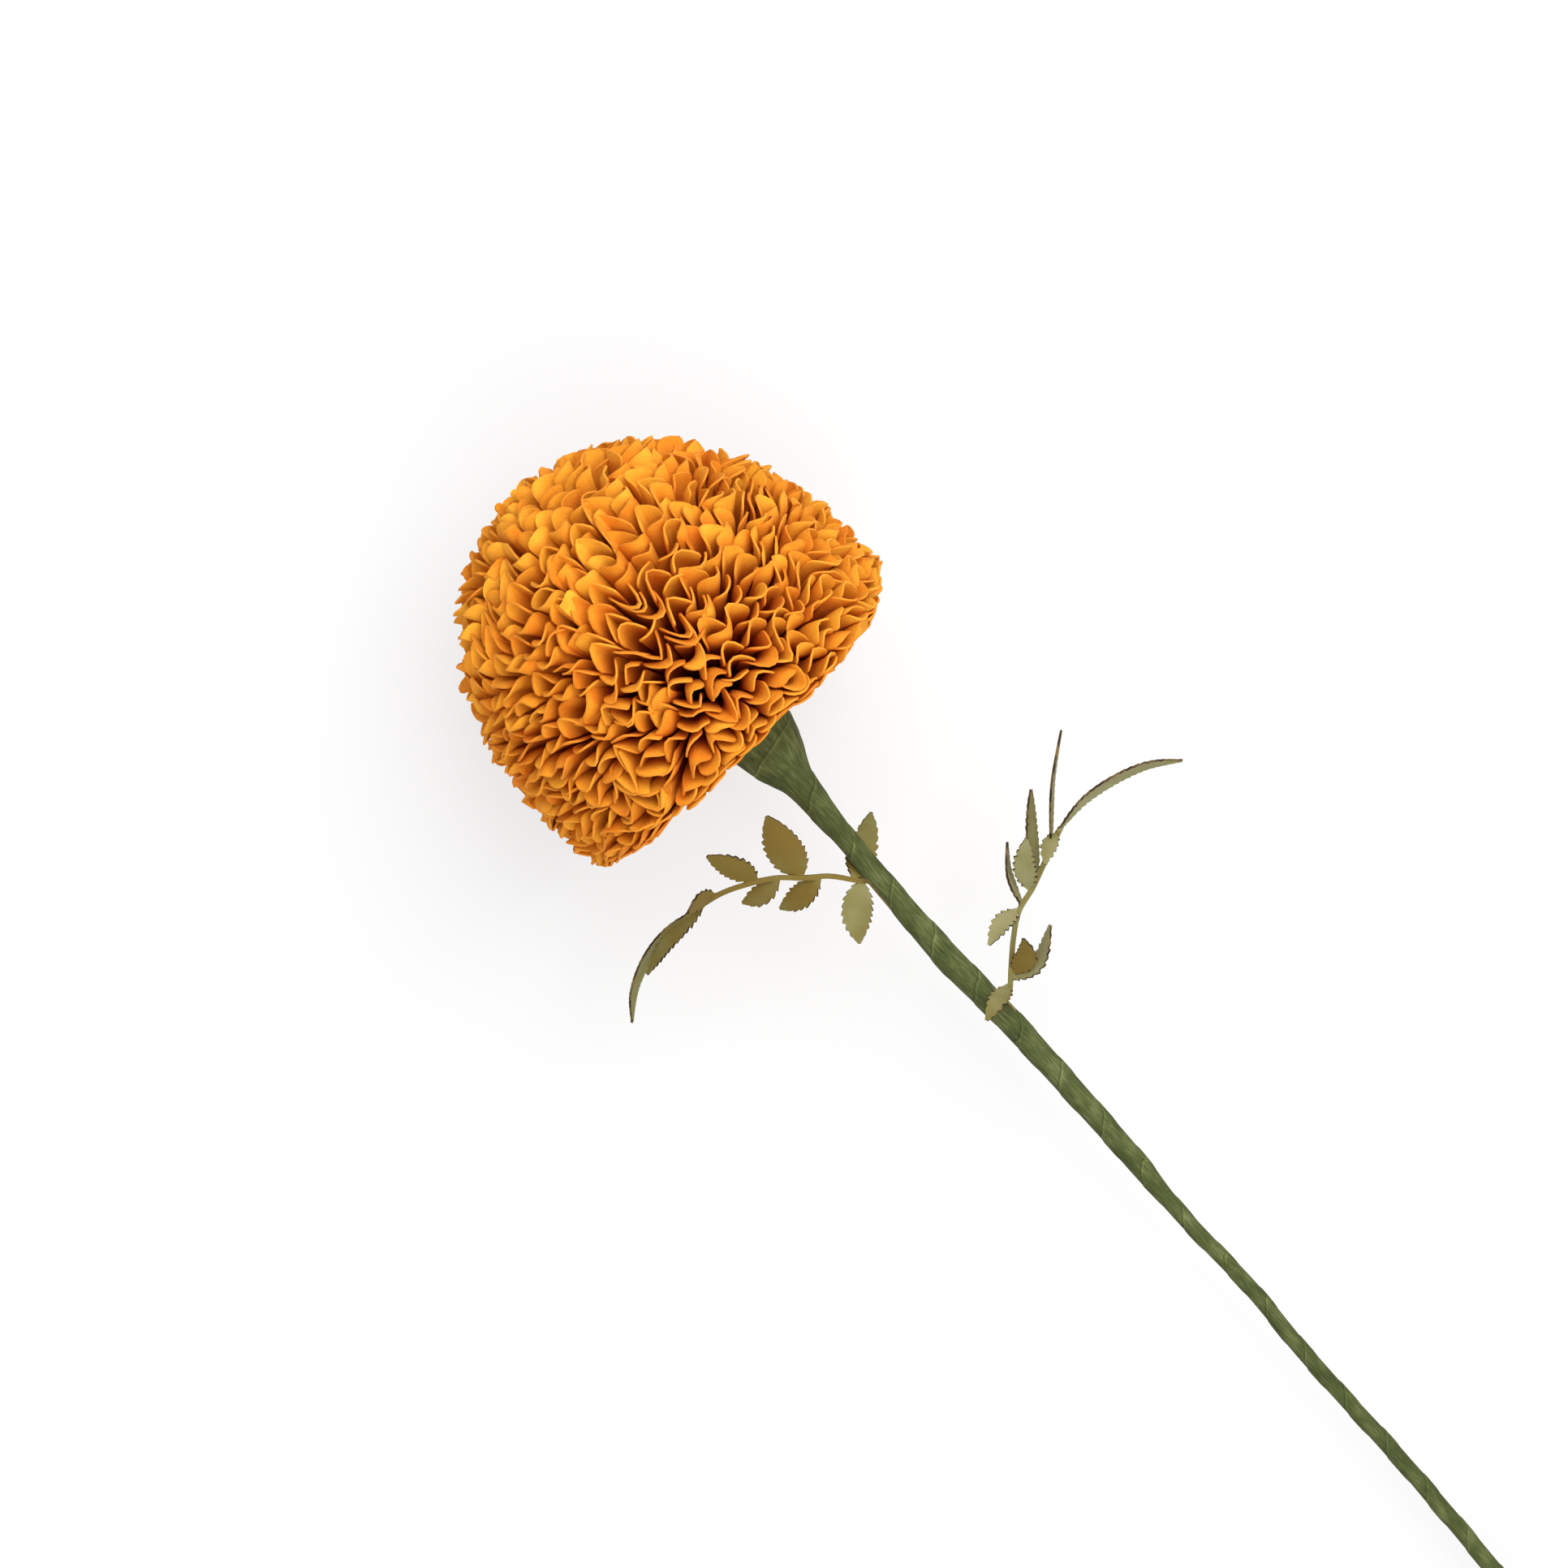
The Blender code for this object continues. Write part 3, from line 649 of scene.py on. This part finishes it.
def stemTape(toWorld):
    # a sheet rolled round the stem's line, closed at both ends down to the wire
    length = pose["stemLength"]
    rows = int((length - tape["top"]) / tape["rowStep"]) + 2
    blank = gridBlank("stemTapeWound", tape["sides"], rows)
    mesh = blank.data
    for vert, column, row in gridSpots(mesh, tape["sides"], rows):
        around = column / tape["sides"]
        distance = mixed(tape["top"], length, clamped((row - 1) / (rows - 2)))
        radius = smoothValue(tape["widths"], distance) / 2 + tapeRelief(distance, around)
        if row in (0, rows):
            radius = tape["wireRadius"] + tape["lip"]
        turn = 2 * math.pi * around
        outward = Vector((math.cos(turn), 0, math.sin(turn)))
        world = toWorld @ (stemPoint(distance) + outward * radius)
        world.z = max(world.z, tape["lip"])
        vert.co = world * mm
    sheet = mesh.uv_layers.active.data
    turns = mesh.uv_layers.new(name="turns").data
    for corner, wound in zip(sheet, turns):
        around = corner.uv.x
        distance = mixed(tape["top"], length, clamped((corner.uv.y * rows - 1) / (rows - 2)))
        corner.uv = (around * tape["girth"], distance)
        wound.uv = (windPhase(distance, around), around)
    weldOutward(blank)
    bpy.ops.object.shade_smooth_by_angle(angle=math.radians(tape["smoothing"]))
    mesh.materials.append(tapeMaterial)
    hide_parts("stem_tape")
    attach(blank, "root")


def crepeMaterial(group):
    material, tree, shader = newMaterial("crepeTape")
    uv = addNode(tree, "ShaderNodeUVMap", uv_map="UVMap").outputs["UV"]
    turned = addNode(tree, "ShaderNodeMapping")
    lay = (0.0, 0.0, math.radians(tape["lay"]))
    feed(tree, turned, Vector=uv, Rotation=lay, Scale=tape["wrinkleScale"])
    wrinkles = addNode(tree, "ShaderNodeTexNoise")
    feed(
        tree, wrinkles, Vector=turned.outputs["Vector"], Scale=1.0,
        Detail=tape["wrinkleDetail"], Roughness=tape["wrinkleRoughness"],
    )
    grain = placeGrain(tree, group, uv, tape["fibreScale"], tape["cloudScale"], tape["relief"])
    # painted shade and light: the colour darkens where the wrinkles' relief is low and lightens on
    # its ridges; the clouds are the tape's own mottled tone
    fine = maths(tree, "MULTIPLY", wrinkles.outputs["Fac"], tape["wrinkleShadeShare"])
    broad = maths(tree, "MULTIPLY", grain.outputs["Clouds"], tape["cloudShare"])
    colour = colourRamp(
        tree, maths(tree, "ADD", fine, broad),
        [(0.33, tape["dark"]), (0.5, tape["mid"]), (0.68, tape["light"])],
    )
    turns = addNode(tree, "ShaderNodeUVMap", uv_map="turns").outputs["UV"]
    split = addNode(tree, "ShaderNodeSeparateXYZ")
    feed(tree, split, Vector=turns)
    # painted highlight on the outer edge of each turn and painted shadow beside it on the turn
    # below
    phase = maths(tree, "FRACT", split.outputs["X"])
    seam = colourRamp(tree, phase, [(place, (grey, grey, grey)) for place, grey in tape["seam"]])
    colour = mixColour(tree, tape["seamShow"], colour, seam, "OVERLAY")
    bump = addNode(tree, "ShaderNodeBump")
    feed(
        tree, bump, Height=wrinkles.outputs["Fac"], Strength=tape["wrinkleRelief"],
        Distance=tape["wrinkleDepth"], Normal=grain.outputs["Normal"],
    )
    feed(
        tree, shader, Base_Color=colour, Roughness=tape["roughness"],
        Specular_IOR_Level=tape["shine"], Normal=bump.outputs["Normal"],
    )
    return material


# Leaf sprays

leaves = {
    "card": 0.45, "columns": (-1.0, -0.86, -0.45, 0.0, 0.45, 0.86, 1.0),
    # stalk: its tail lies under the tape
    "stalkWidth": 1.0, "tailLength": 7.0, "tailExit": 1.0, "stalkBend": 2.5, "stalkTwist": 4.0,
    "stalkStep": 1.5, "foot": 0.6, "stalkFineness": 8,
    # leaflets, with teeth of three rows of points each: place in the tooth and rise
    "belly": 0.8, "fullness": 0.7, "tipWidth": 0.7, "cup": 0.10, "cupMiddle": 0.5,
    "leafletFineness": 12, "toothRows": ((0.4, 0.1), (0.8, 0.5), (1.0, -0.5)),
    "toothPitch": 1.4, "toothDepth": 0.62, "toothSpread": (0.5, 1.3), "toothFade": 3.0,
    "toothPower": 3,
    # card, with its tone and the painted shade of leaflets that lie in shade, and its burnt edges
    "light": (0.240, 0.226, 0.106), "mid": (0.172, 0.153, 0.046), "shade": (0.152, 0.102, 0.015),
    "burnt": (0.035, 0.018, 0.008), "tanned": (0.16, 0.11, 0.045),
    "stalkBurn": 0.85, "footBurn": 0.3, "edgeBurn": 1.0, "scorchScale": 700.0, "scorchDetail": 2.0,
    "scorchShare": 1.6, "fibreScale": 2400.0, "cloudScale": 160.0, "relief": 0.25,
    "cloudShare": 0.9, "roughness": 0.75, "shine": 0.25,
    "edgeFibres": 1500.0, "edgeClouds": 420.0, "edgeRelief": 0.3, "edgeRoughness": 0.9,
    "edgeShine": 0.15,
}

# A spray's points are measured from its place on the stem. A leaflet has its place along the stalk,
# its side, the way to its tip, its width, its roll, its bow and its tone from light to brown, which
# partly paints the shade that some leaflets and stalks lie in.
leftSpray = {
    "name": "leafSprayLeft", "node": "leaf_spray_left", "distance": 36.7, "seatAngle": 160.0,
    "path": [
        (-4.0, 3.6, 1.0), (-7.1, 7.3, 1.6), (-11.2, 10.4, 2.2), (-14.4, 13.3, 2.4),
        (-18.1, 15.5, 2.3), (-24.9, 18.2, 1.4), (-32.5, 19.0, -0.6),
    ],
    "end": [(-38.1, 18.8, -2.4), (-44.2, 17.0, -5.4), (-50.2, 13.2, -10.6), (-54.8, 7.8, -17.6)],
    "endWidth": 3.8, "endRoll": -36.0, "endTwist": -46.0, "endToneAndShade": 0.45, "stalkToneAndShade": 0.95,
    "endTeeth": 0.2,
    "leaflets": [
        (3.3, 1, (10.6, 6.6, -6.1), 5.8, 10.0, (1.2, -1.0, -8.0), 0.7),
        (1.7, -1, (-7.9, -9.1, -2.0), 5.8, 8.0, (-1.4, 0.6, 0.8), 0.45),
        (13.8, 1, (2.4, 13.4, 3.0), 7.4, -22.0, (-0.6, 0.0, 0.8), 0.95),
        (10.4, -1, (-9.3, -0.2, -4.6), 4.8, 24.0, (0.0, -0.8, 1.6), 0.8),
        (22.6, 1, (-4.0, 10.0, 4.5), 5.4, -34.0, (0.6, 0.0, 0.8), 0.95),
        (18.4, -1, (-7.9, 0.5, -4.0), 4.2, 26.0, (0.0, -1.0, 1.4), 0.8),
        (31.2, 1, (-5.6, 1.4, 6.4), 4.2, -44.0, (-0.8, 1.2, 1.0), 0.9),
        (34.6, -1, (-16.2, -3.5, -4.8), 3.5, 48.0, (-1.7, 1.6, 2.0), 0.7),
    ],
}
rightSpray = {
    "name": "leafSprayRight", "node": "leaf_spray_right", "distance": 71.3, "seatAngle": 25.0,
    "path": [
        (4.2, 2.4, 1.8), (7.0, 5.6, 2.8), (11.0, 9.8, 3.6), (15.2, 13.2, 4.0),
        (20.0, 14.9, 4.2), (25.2, 17.4, 4.6), (31.4, 20.4, 5.2),
    ],
    "end": [(38.2, 21.8, 6.6), (45.2, 21.2, 7.0), (51.9, 18.9, 5.6), (57.8, 14.7, 2.4)],
    "endWidth": 4.4, "endRoll": 62.0, "endTwist": 0.0, "endToneAndShade": 0.2, "stalkToneAndShade": 0.6,
    "endTeeth": 0.45,
    "leaflets": [
        (3.15, -1, (-7.4, -1.6, 4.4), 3.8, 40.0, (0.2, 1.0, 3.4), 0.4),
        (4.9, 1, (12.0, 3.7, 3.0), 3.8, -58.0, (-0.8, -4.6, 1.0), 0.1),
        (6.3, 1, (5.4, 4.6, 6.0), 4.2, -20.0, (2.0, -2.4, 1.0), 0.9),
        (18.2, -1, (-8.3, -1.0, 3.5), 3.6, 32.0, (0.6, 1.8, 1.2), 0.15),
        (20.0, -1, (5.4, 10.8, 1.5), 5.2, 74.0, (-2.0, 1.0, 0.0), 0.3),
        (23.2, -1, (5.6, 8.8, 6.5), 4.1, -8.0, (-1.4, 0.8, 0.4), 0.2),
        (26.4, -1, (9.6, 13.0, -1.0), 5.4, 62.0, (-1.0, 0.6, 0.8), 0.5),
        (34.9, -1, (-5.4, -2.8, 3.4), 3.0, 20.0, (-0.6, 0.8, 1.6), 0.35),
        (33.2, -1, (15.0, 15.8, 4.0), 5.0, 77.0, (-1.2, 1.2, 0.0), 0.3),
    ],
}


def smoothLine(points, count):
    fine = []
    for spot in range(len(points) - 1):
        before = points[max(spot - 1, 0)]
        start, end = points[spot], points[spot + 1]
        after = points[min(spot + 2, len(points) - 1)]
        for part in range(count):
            t = part / count
            fine.append(0.5 * (
                2 * start + (end - before) * t + (2 * before - 5 * start + 4 * end - after) * t**2
                + (3 * start - before - 3 * end + after) * t**3
            ))
    fine.append(points[-1].copy())
    lengths = [0.0]
    for first, second in zip(fine, fine[1:]):
        lengths.append(lengths[-1] + (second - first).length)
    return fine, lengths


def pointOnLine(line, place):
    fine, lengths = line
    place = clamped(place, 0.0, lengths[-1])
    spot = 1
    while spot < len(lengths) - 1 and lengths[spot] < place:
        spot += 1
    share = (place - lengths[spot - 1]) / (lengths[spot] - lengths[spot - 1])
    return fine[spot - 1].lerp(fine[spot], share), (fine[spot] - fine[spot - 1]).normalized()


def leafletHalf(width, t):
    full = math.sin(math.pi * t ** leaves["belly"]) ** leaves["fullness"] if 0 < t < 1 else 0.0
    return max(width / 2 * full, leaves["tipWidth"] / 2)


def stalkLine(spray):
    # the stalk's smooth line from its tail in the tape, and the outward way of its seat
    distance = spray["distance"]
    angle = math.radians(spray["seatAngle"])
    outward = Vector((math.cos(angle), 0, math.sin(angle)))
    joint = stemPoint(distance)
    seat = joint + outward * (smoothValue(tape["widths"], distance) / 2 - leaves["card"] / 2)
    along = Vector((0, 1, 0))
    tail = leaves["tailLength"]
    points = [seat - along * tail, seat - along * tail / 2, seat + along * leaves["tailExit"]]
    points += [joint + Vector(point) for point in spray["path"]]
    return smoothLine(points, leaves["stalkFineness"]), outward


def stalkPlaces(spray, line, start):
    # stations along the stalk: its bend, the feet of the leaflets, and even steps between
    length = line[1][-1]
    fill = start + leaves["stalkBend"]
    places = {0.0, start, fill, length}
    for at, *_ in spray["leaflets"]:
        places.update(at + start + leaves["foot"] * share for share in leaves["columns"])
    while fill < length - leaves["stalkStep"]:
        fill += leaves["stalkStep"]
        if all(abs(fill - place) > leaves["foot"] for place in places):
            places.add(fill)
    return sorted(places)


def addStalk(spray, line, outward, start, places):
    # a narrow strip of card on the line, and its points by row and column
    strip = gridBlank("stalk", len(leaves["columns"]) - 1, len(places) - 1)
    addMarks(strip.data, "leafBurn", "leafToneAndShade")
    edges = {}
    for vert, column, row in gridSpots(strip.data, len(leaves["columns"]) - 1, len(places) - 1):
        place, share = places[row], leaves["columns"][column]
        point, way = pointOnLine(line, place)
        normal = outward.lerp(Vector((0, 0, 1)), clamped((place - start) / leaves["stalkTwist"]))
        point += way.cross(normal).normalized() * (share * leaves["stalkWidth"] / 2)
        edges[row, column] = point.copy()
        vert.co = point
        setMarks(strip.data, vert.index, leaves["stalkBurn"] * abs(share), spray["stalkToneAndShade"])
    return strip, edges


def setMarks(mesh, index, burn, tone):
    mesh.attributes["leafBurn"].data[index].value = burn
    mesh.attributes["leafToneAndShade"].data[index].value = tone


def leafSpray(spray, toWorld):
    line, outward = stalkLine(spray)
    start = leaves["tailLength"] + leaves["tailExit"]
    places = stalkPlaces(spray, line, start)
    strip, edges = addStalk(spray, line, outward, start, places)
    pieces = [strip]
    last = len(leaves["columns"]) - 1
    for at, side, way, width, roll, bow, tone in spray["leaflets"]:
        stations = [at + start + leaves["foot"] * share for share in leaves["columns"]]
        foot = [edges[places.index(station), last if side > 0 else 0] for station in stations]
        base = (foot[0] + foot[-1]) / 2
        tip = base + Vector(way)
        points = [base, (base + tip + Vector(bow)) / 2, tip]
        pieces.append(addLeaflet(foot, points, width, roll, tone))
    foot = [edges[len(places) - 1, column] for column in range(last + 1)]
    joint = stemPoint(spray["distance"])
    points = [line[0][-1]] + [joint + Vector(point) for point in spray["end"]]
    pieces.append(addLeaflet(
        foot, points, spray["endWidth"], spray["endRoll"], spray["endToneAndShade"],
        spray["endTeeth"], spray["endTwist"],
    ))
    for piece in pieces:
        for vert in piece.data.vertices:
            vert.co = toWorld @ vert.co * mm
    whole = joinPieces(pieces, spray["name"])
    thicken(whole, leaves["card"], (cardMaterial, cardEdgeMaterial))
    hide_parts(spray["node"])
    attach(whole, "root")


def addLeaflet(foot, points, width, roll, tone, toothDepth=leaves["toothDepth"], twist=0.0):
    # a flat blank shaped on its line, with saw teeth that point to its tip
    looks = random.Random(round(1000 * points[-1].x))
    line = smoothLine(points, leaves["leafletFineness"])
    length = line[1][-1]
    chord = (points[-1] - points[0]).normalized()
    across = Vector((0, 0, 1)).cross(chord).normalized()
    across = Matrix.Rotation(math.radians(roll), 3, chord) @ across
    if across.dot(foot[-1] - foot[0]) < 0:
        across = -across
    teeth = round(length / leaves["toothPitch"])
    toothRows = leaves["toothRows"]
    columns, rows = len(leaves["columns"]) - 1, len(toothRows) * teeth
    leaflet = gridBlank("leaflet", columns, rows)
    addMarks(leaflet.data, "leafBurn", "leafToneAndShade")
    spread = leaves["toothSpread"]
    depths = [[toothDepth * looks.uniform(*spread) for _ in range(teeth)] for _ in range(2)]
    for vert, column, row in gridSpots(leaflet.data, columns, rows):
        share = leaves["columns"][column]
        if row == 0:
            vert.co = foot[column]
            setMarks(leaflet.data, vert.index, leaves["footBurn"], tone)
            continue
        tooth = (row - 1) // len(toothRows)
        part, rise = toothRows[(row - 1) % len(toothRows)]
        t = (tooth + part) / teeth
        middle, way = pointOnLine(line, t * length)
        side = (across - way * across.dot(way)).normalized()
        side = Matrix.Rotation(math.radians(twist) * t, 3, way) @ side
        change = depths[0 if share < 0 else 1][tooth] * rise
        change *= clamped(leaves["toothFade"] * (1 - t)) * abs(share) ** leaves["toothPower"]
        half = max(leafletHalf(width, t) + change, leaves["tipWidth"] / 2)
        lift = leaves["cup"] * half * (abs(share) - leaves["cupMiddle"]) * math.sin(math.pi * t)
        vert.co = middle + side * (half * share) + side.cross(way) * lift
        atEdge = abs(share) == 1 or row == rows
        setMarks(leaflet.data, vert.index, leaves["edgeBurn"] if atEdge else 0.0, tone)
    return leaflet


def leafMaterial(group):
    material, tree, shader = newMaterial("leafCard")
    coords = addNode(tree, "ShaderNodeTexCoord").outputs["Object"]
    burnt = addNode(tree, "ShaderNodeAttribute", attribute_name="leafBurn").outputs["Fac"]
    tone = addNode(tree, "ShaderNodeAttribute", attribute_name="leafToneAndShade").outputs["Fac"]
    grain = placeGrain(
        tree, group, coords, leaves["fibreScale"], leaves["cloudScale"], leaves["relief"],
    )
    clouds = maths(tree, "SUBTRACT", grain.outputs["Clouds"], 0.5)
    clouds = maths(tree, "MULTIPLY", clouds, leaves["cloudShare"])
    # card colour by tone from light through mid to shade: partly the card's own tone, partly
    # painted shade
    card = colourRamp(
        tree, maths(tree, "ADD", tone, clouds),
        [(0.1, leaves["light"]), (0.5, leaves["mid"]), (0.9, leaves["shade"])],
    )
    scorch = addNode(tree, "ShaderNodeTexNoise")
    feed(tree, scorch, Vector=coords, Scale=leaves["scorchScale"], Detail=leaves["scorchDetail"])
    patches = maths(tree, "MULTIPLY", scorch.outputs["Fac"], leaves["scorchShare"])
    mask = maths(tree, "MULTIPLY", maths(tree, "ADD", burnt, patches), 0.5)
    mask = colourRamp(tree, mask, [(0.82, (0, 0, 0)), (1.0, (1, 1, 1))])
    colour = mixColour(tree, mask, card, leaves["burnt"])
    feed(
        tree, shader, Base_Color=colour, Roughness=leaves["roughness"],
        Specular_IOR_Level=leaves["shine"], Normal=grain.outputs["Normal"],
    )
    return material


def leafEdgeMaterial(group):
    # the burnt rim of the cut card, with patches only browned
    material, tree, shader = newMaterial("leafCutEdge")
    coords = addNode(tree, "ShaderNodeTexCoord").outputs["Object"]
    grain = placeGrain(
        tree, group, coords, leaves["edgeFibres"], leaves["edgeClouds"], leaves["edgeRelief"],
    )
    colour = colourRamp(
        tree, grain.outputs["Clouds"], [(0.45, leaves["burnt"]), (0.68, leaves["tanned"])],
    )
    feed(
        tree, shader, Base_Color=colour, Roughness=leaves["edgeRoughness"],
        Specular_IOR_Level=leaves["edgeShine"], Normal=grain.outputs["Normal"],
    )
    return material


# Wire: the solid of the frame, with a material

wireLooks = {
    "dull": (0.30, 0.30, 0.31), "bright": (0.55, 0.55, 0.56), "scale": 1800.0, "detail": 2.0,
    "roughness": 0.38,
}


def wireMaterial():
    material, tree, shader = newMaterial("drawnWire")
    coords = addNode(tree, "ShaderNodeTexCoord").outputs["Object"]
    draw = addNode(tree, "ShaderNodeTexNoise")
    feed(tree, draw, Vector=coords, Scale=wireLooks["scale"], Detail=wireLooks["detail"])
    colour = colourRamp(
        tree, draw.outputs["Fac"], [(0.3, wireLooks["dull"]), (0.7, wireLooks["bright"])],
    )
    feed(tree, shader, Base_Color=colour, Metallic=1.0, Roughness=wireLooks["roughness"])
    return material


# Floor, lamps and camera

stage = {
    # floor: its colour for the light on the flower, and what the camera sees of it
    "floorSize": 6.0, "floorDrop": 0.0001, "floorColour": (0.62, 0.62, 0.62),
    "floorSeen": (0.24, 0.24, 0.24), "floorFar": (0.0, 0.0, 0.0), "floorGlow": 0.635,
    "floorFade": 1.6, "fadeStart": 0.25, "fadeEnd": 0.6, "floorRoughness": 0.9,
    "keyPlace": (0.50, 0.30, 0.95), "keySize": 0.9, "keyPower": 11.0,
    "fillPlace": (-0.15, -0.45, 0.95), "fillSize": 1.0, "fillPower": 5.5,
    "skyStrength": 0.75, "aim": (-0.005, 0.12, 0.03),
    "cameraPlace": (-0.00431, 0.09778, 1.24), "cameraTurn": -40.37, "lens": 144.0,
    "cameraReach": 10.0,
}


def seenRays(tree):
    # 1 for what the camera sees, also in metal and glass, and 0 for the light on the flower
    path = addNode(tree, "ShaderNodeLightPath").outputs
    mirrored = maths(tree, "ADD", path["Is Glossy Ray"], path["Is Transmission Ray"])
    return maths(tree, "ADD", path["Is Camera Ray"], mirrored, clamp=True)


def floorMaterial():
    # keeps the flower's shadow from going dark, and turns plain white far away
    material, tree, shader = newMaterial("floorWhite")
    seen = seenRays(tree)
    away = addNode(tree, "ShaderNodeVectorMath", operation="LENGTH")
    feed(tree, away, n0=addNode(tree, "ShaderNodeTexCoord").outputs["Object"])
    far = maths(tree, "DIVIDE", away.outputs["Value"], stage["floorFade"])
    far = colourRamp(tree, far, [(stage["fadeStart"], (0, 0, 0)), (stage["fadeEnd"], (1, 1, 1))])
    shown = mixColour(tree, far, stage["floorSeen"], stage["floorFar"])
    fade = maths(tree, "MULTIPLY", far, 1 - stage["floorGlow"])
    glow = maths(tree, "MULTIPLY", seen, maths(tree, "ADD", fade, stage["floorGlow"]))
    feed(
        tree, shader, Base_Color=mixColour(tree, seen, stage["floorColour"], shown),
        Roughness=stage["floorRoughness"], Specular_IOR_Level=0.0,
        Emission_Color=(1, 1, 1, 1), Emission_Strength=glow,
    )
    return material


def addFloor():
    deselectAll()
    bpy.ops.mesh.primitive_plane_add(size=stage["floorSize"], location=(0, 0, -stage["floorDrop"]))
    floor = bpy.context.object
    floor.name = "floor"
    floor.data.materials.append(floorMaterial())


def addLamp(name, place, size, power):
    lamp = bpy.data.lights.new(name, "AREA")
    lamp.energy = power
    lamp.size = size
    holder = bpy.data.objects.new(name, lamp)
    bpy.context.scene.collection.objects.link(holder)
    holder.location = place
    way = Vector(stage["aim"]) - Vector(place)
    holder.rotation_euler = way.to_track_quat("-Z", "Y").to_euler()


def addCamera():
    camera = bpy.data.cameras.new("camera")
    camera.lens = stage["lens"]
    camera.clip_end = stage["cameraReach"]
    holder = bpy.data.objects.new("camera", camera)
    bpy.context.scene.collection.objects.link(holder)
    holder.location = stage["cameraPlace"]
    holder.rotation_euler = (0, 0, math.radians(stage["cameraTurn"]))
    bpy.context.scene.camera = holder


def addWorld():
    world = bpy.data.worlds.new("studio")
    bpy.context.scene.world = world
    world.use_nodes = True
    tree = world.node_tree
    brighter = maths(tree, "MULTIPLY", seenRays(tree), 1 - stage["skyStrength"])
    strength = maths(tree, "ADD", brighter, stage["skyStrength"])
    feed(tree, tree.nodes["Background"], Color=(1, 1, 1, 1), Strength=strength)


print("materials")
grainGroup = paperGrain()
paperMaterial = petalMaterial("petalPaper", grainGroup, petals["litPaper"], petals["midPaper"])
paperEdgeMaterial = petalMaterial("petalEdge", grainGroup, petals["edgePaper"], petals["darkEdge"])
tapeMaterial = crepeMaterial(grainGroup)
cardMaterial = leafMaterial(grainGroup)
cardEdgeMaterial = leafEdgeMaterial(grainGroup)

print("petals")
allPetals(headFrame())

print("stem and leaves")
stemPlace = stemFrame()
stemTape(stemPlace)
leafSpray(leftSpray, stemPlace)
leafSpray(rightSpray, stemPlace)
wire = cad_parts["stem_wire"]
wire.data.materials.clear()
wire.data.materials.append(wireMaterial())

print("stage")
bpy.context.scene.view_settings.view_transform = "Standard"
addWorld()
addFloor()
addLamp("key", stage["keyPlace"], stage["keySize"], stage["keyPower"])
addLamp("fill", stage["fillPlace"], stage["fillSize"], stage["fillPower"])
addCamera()
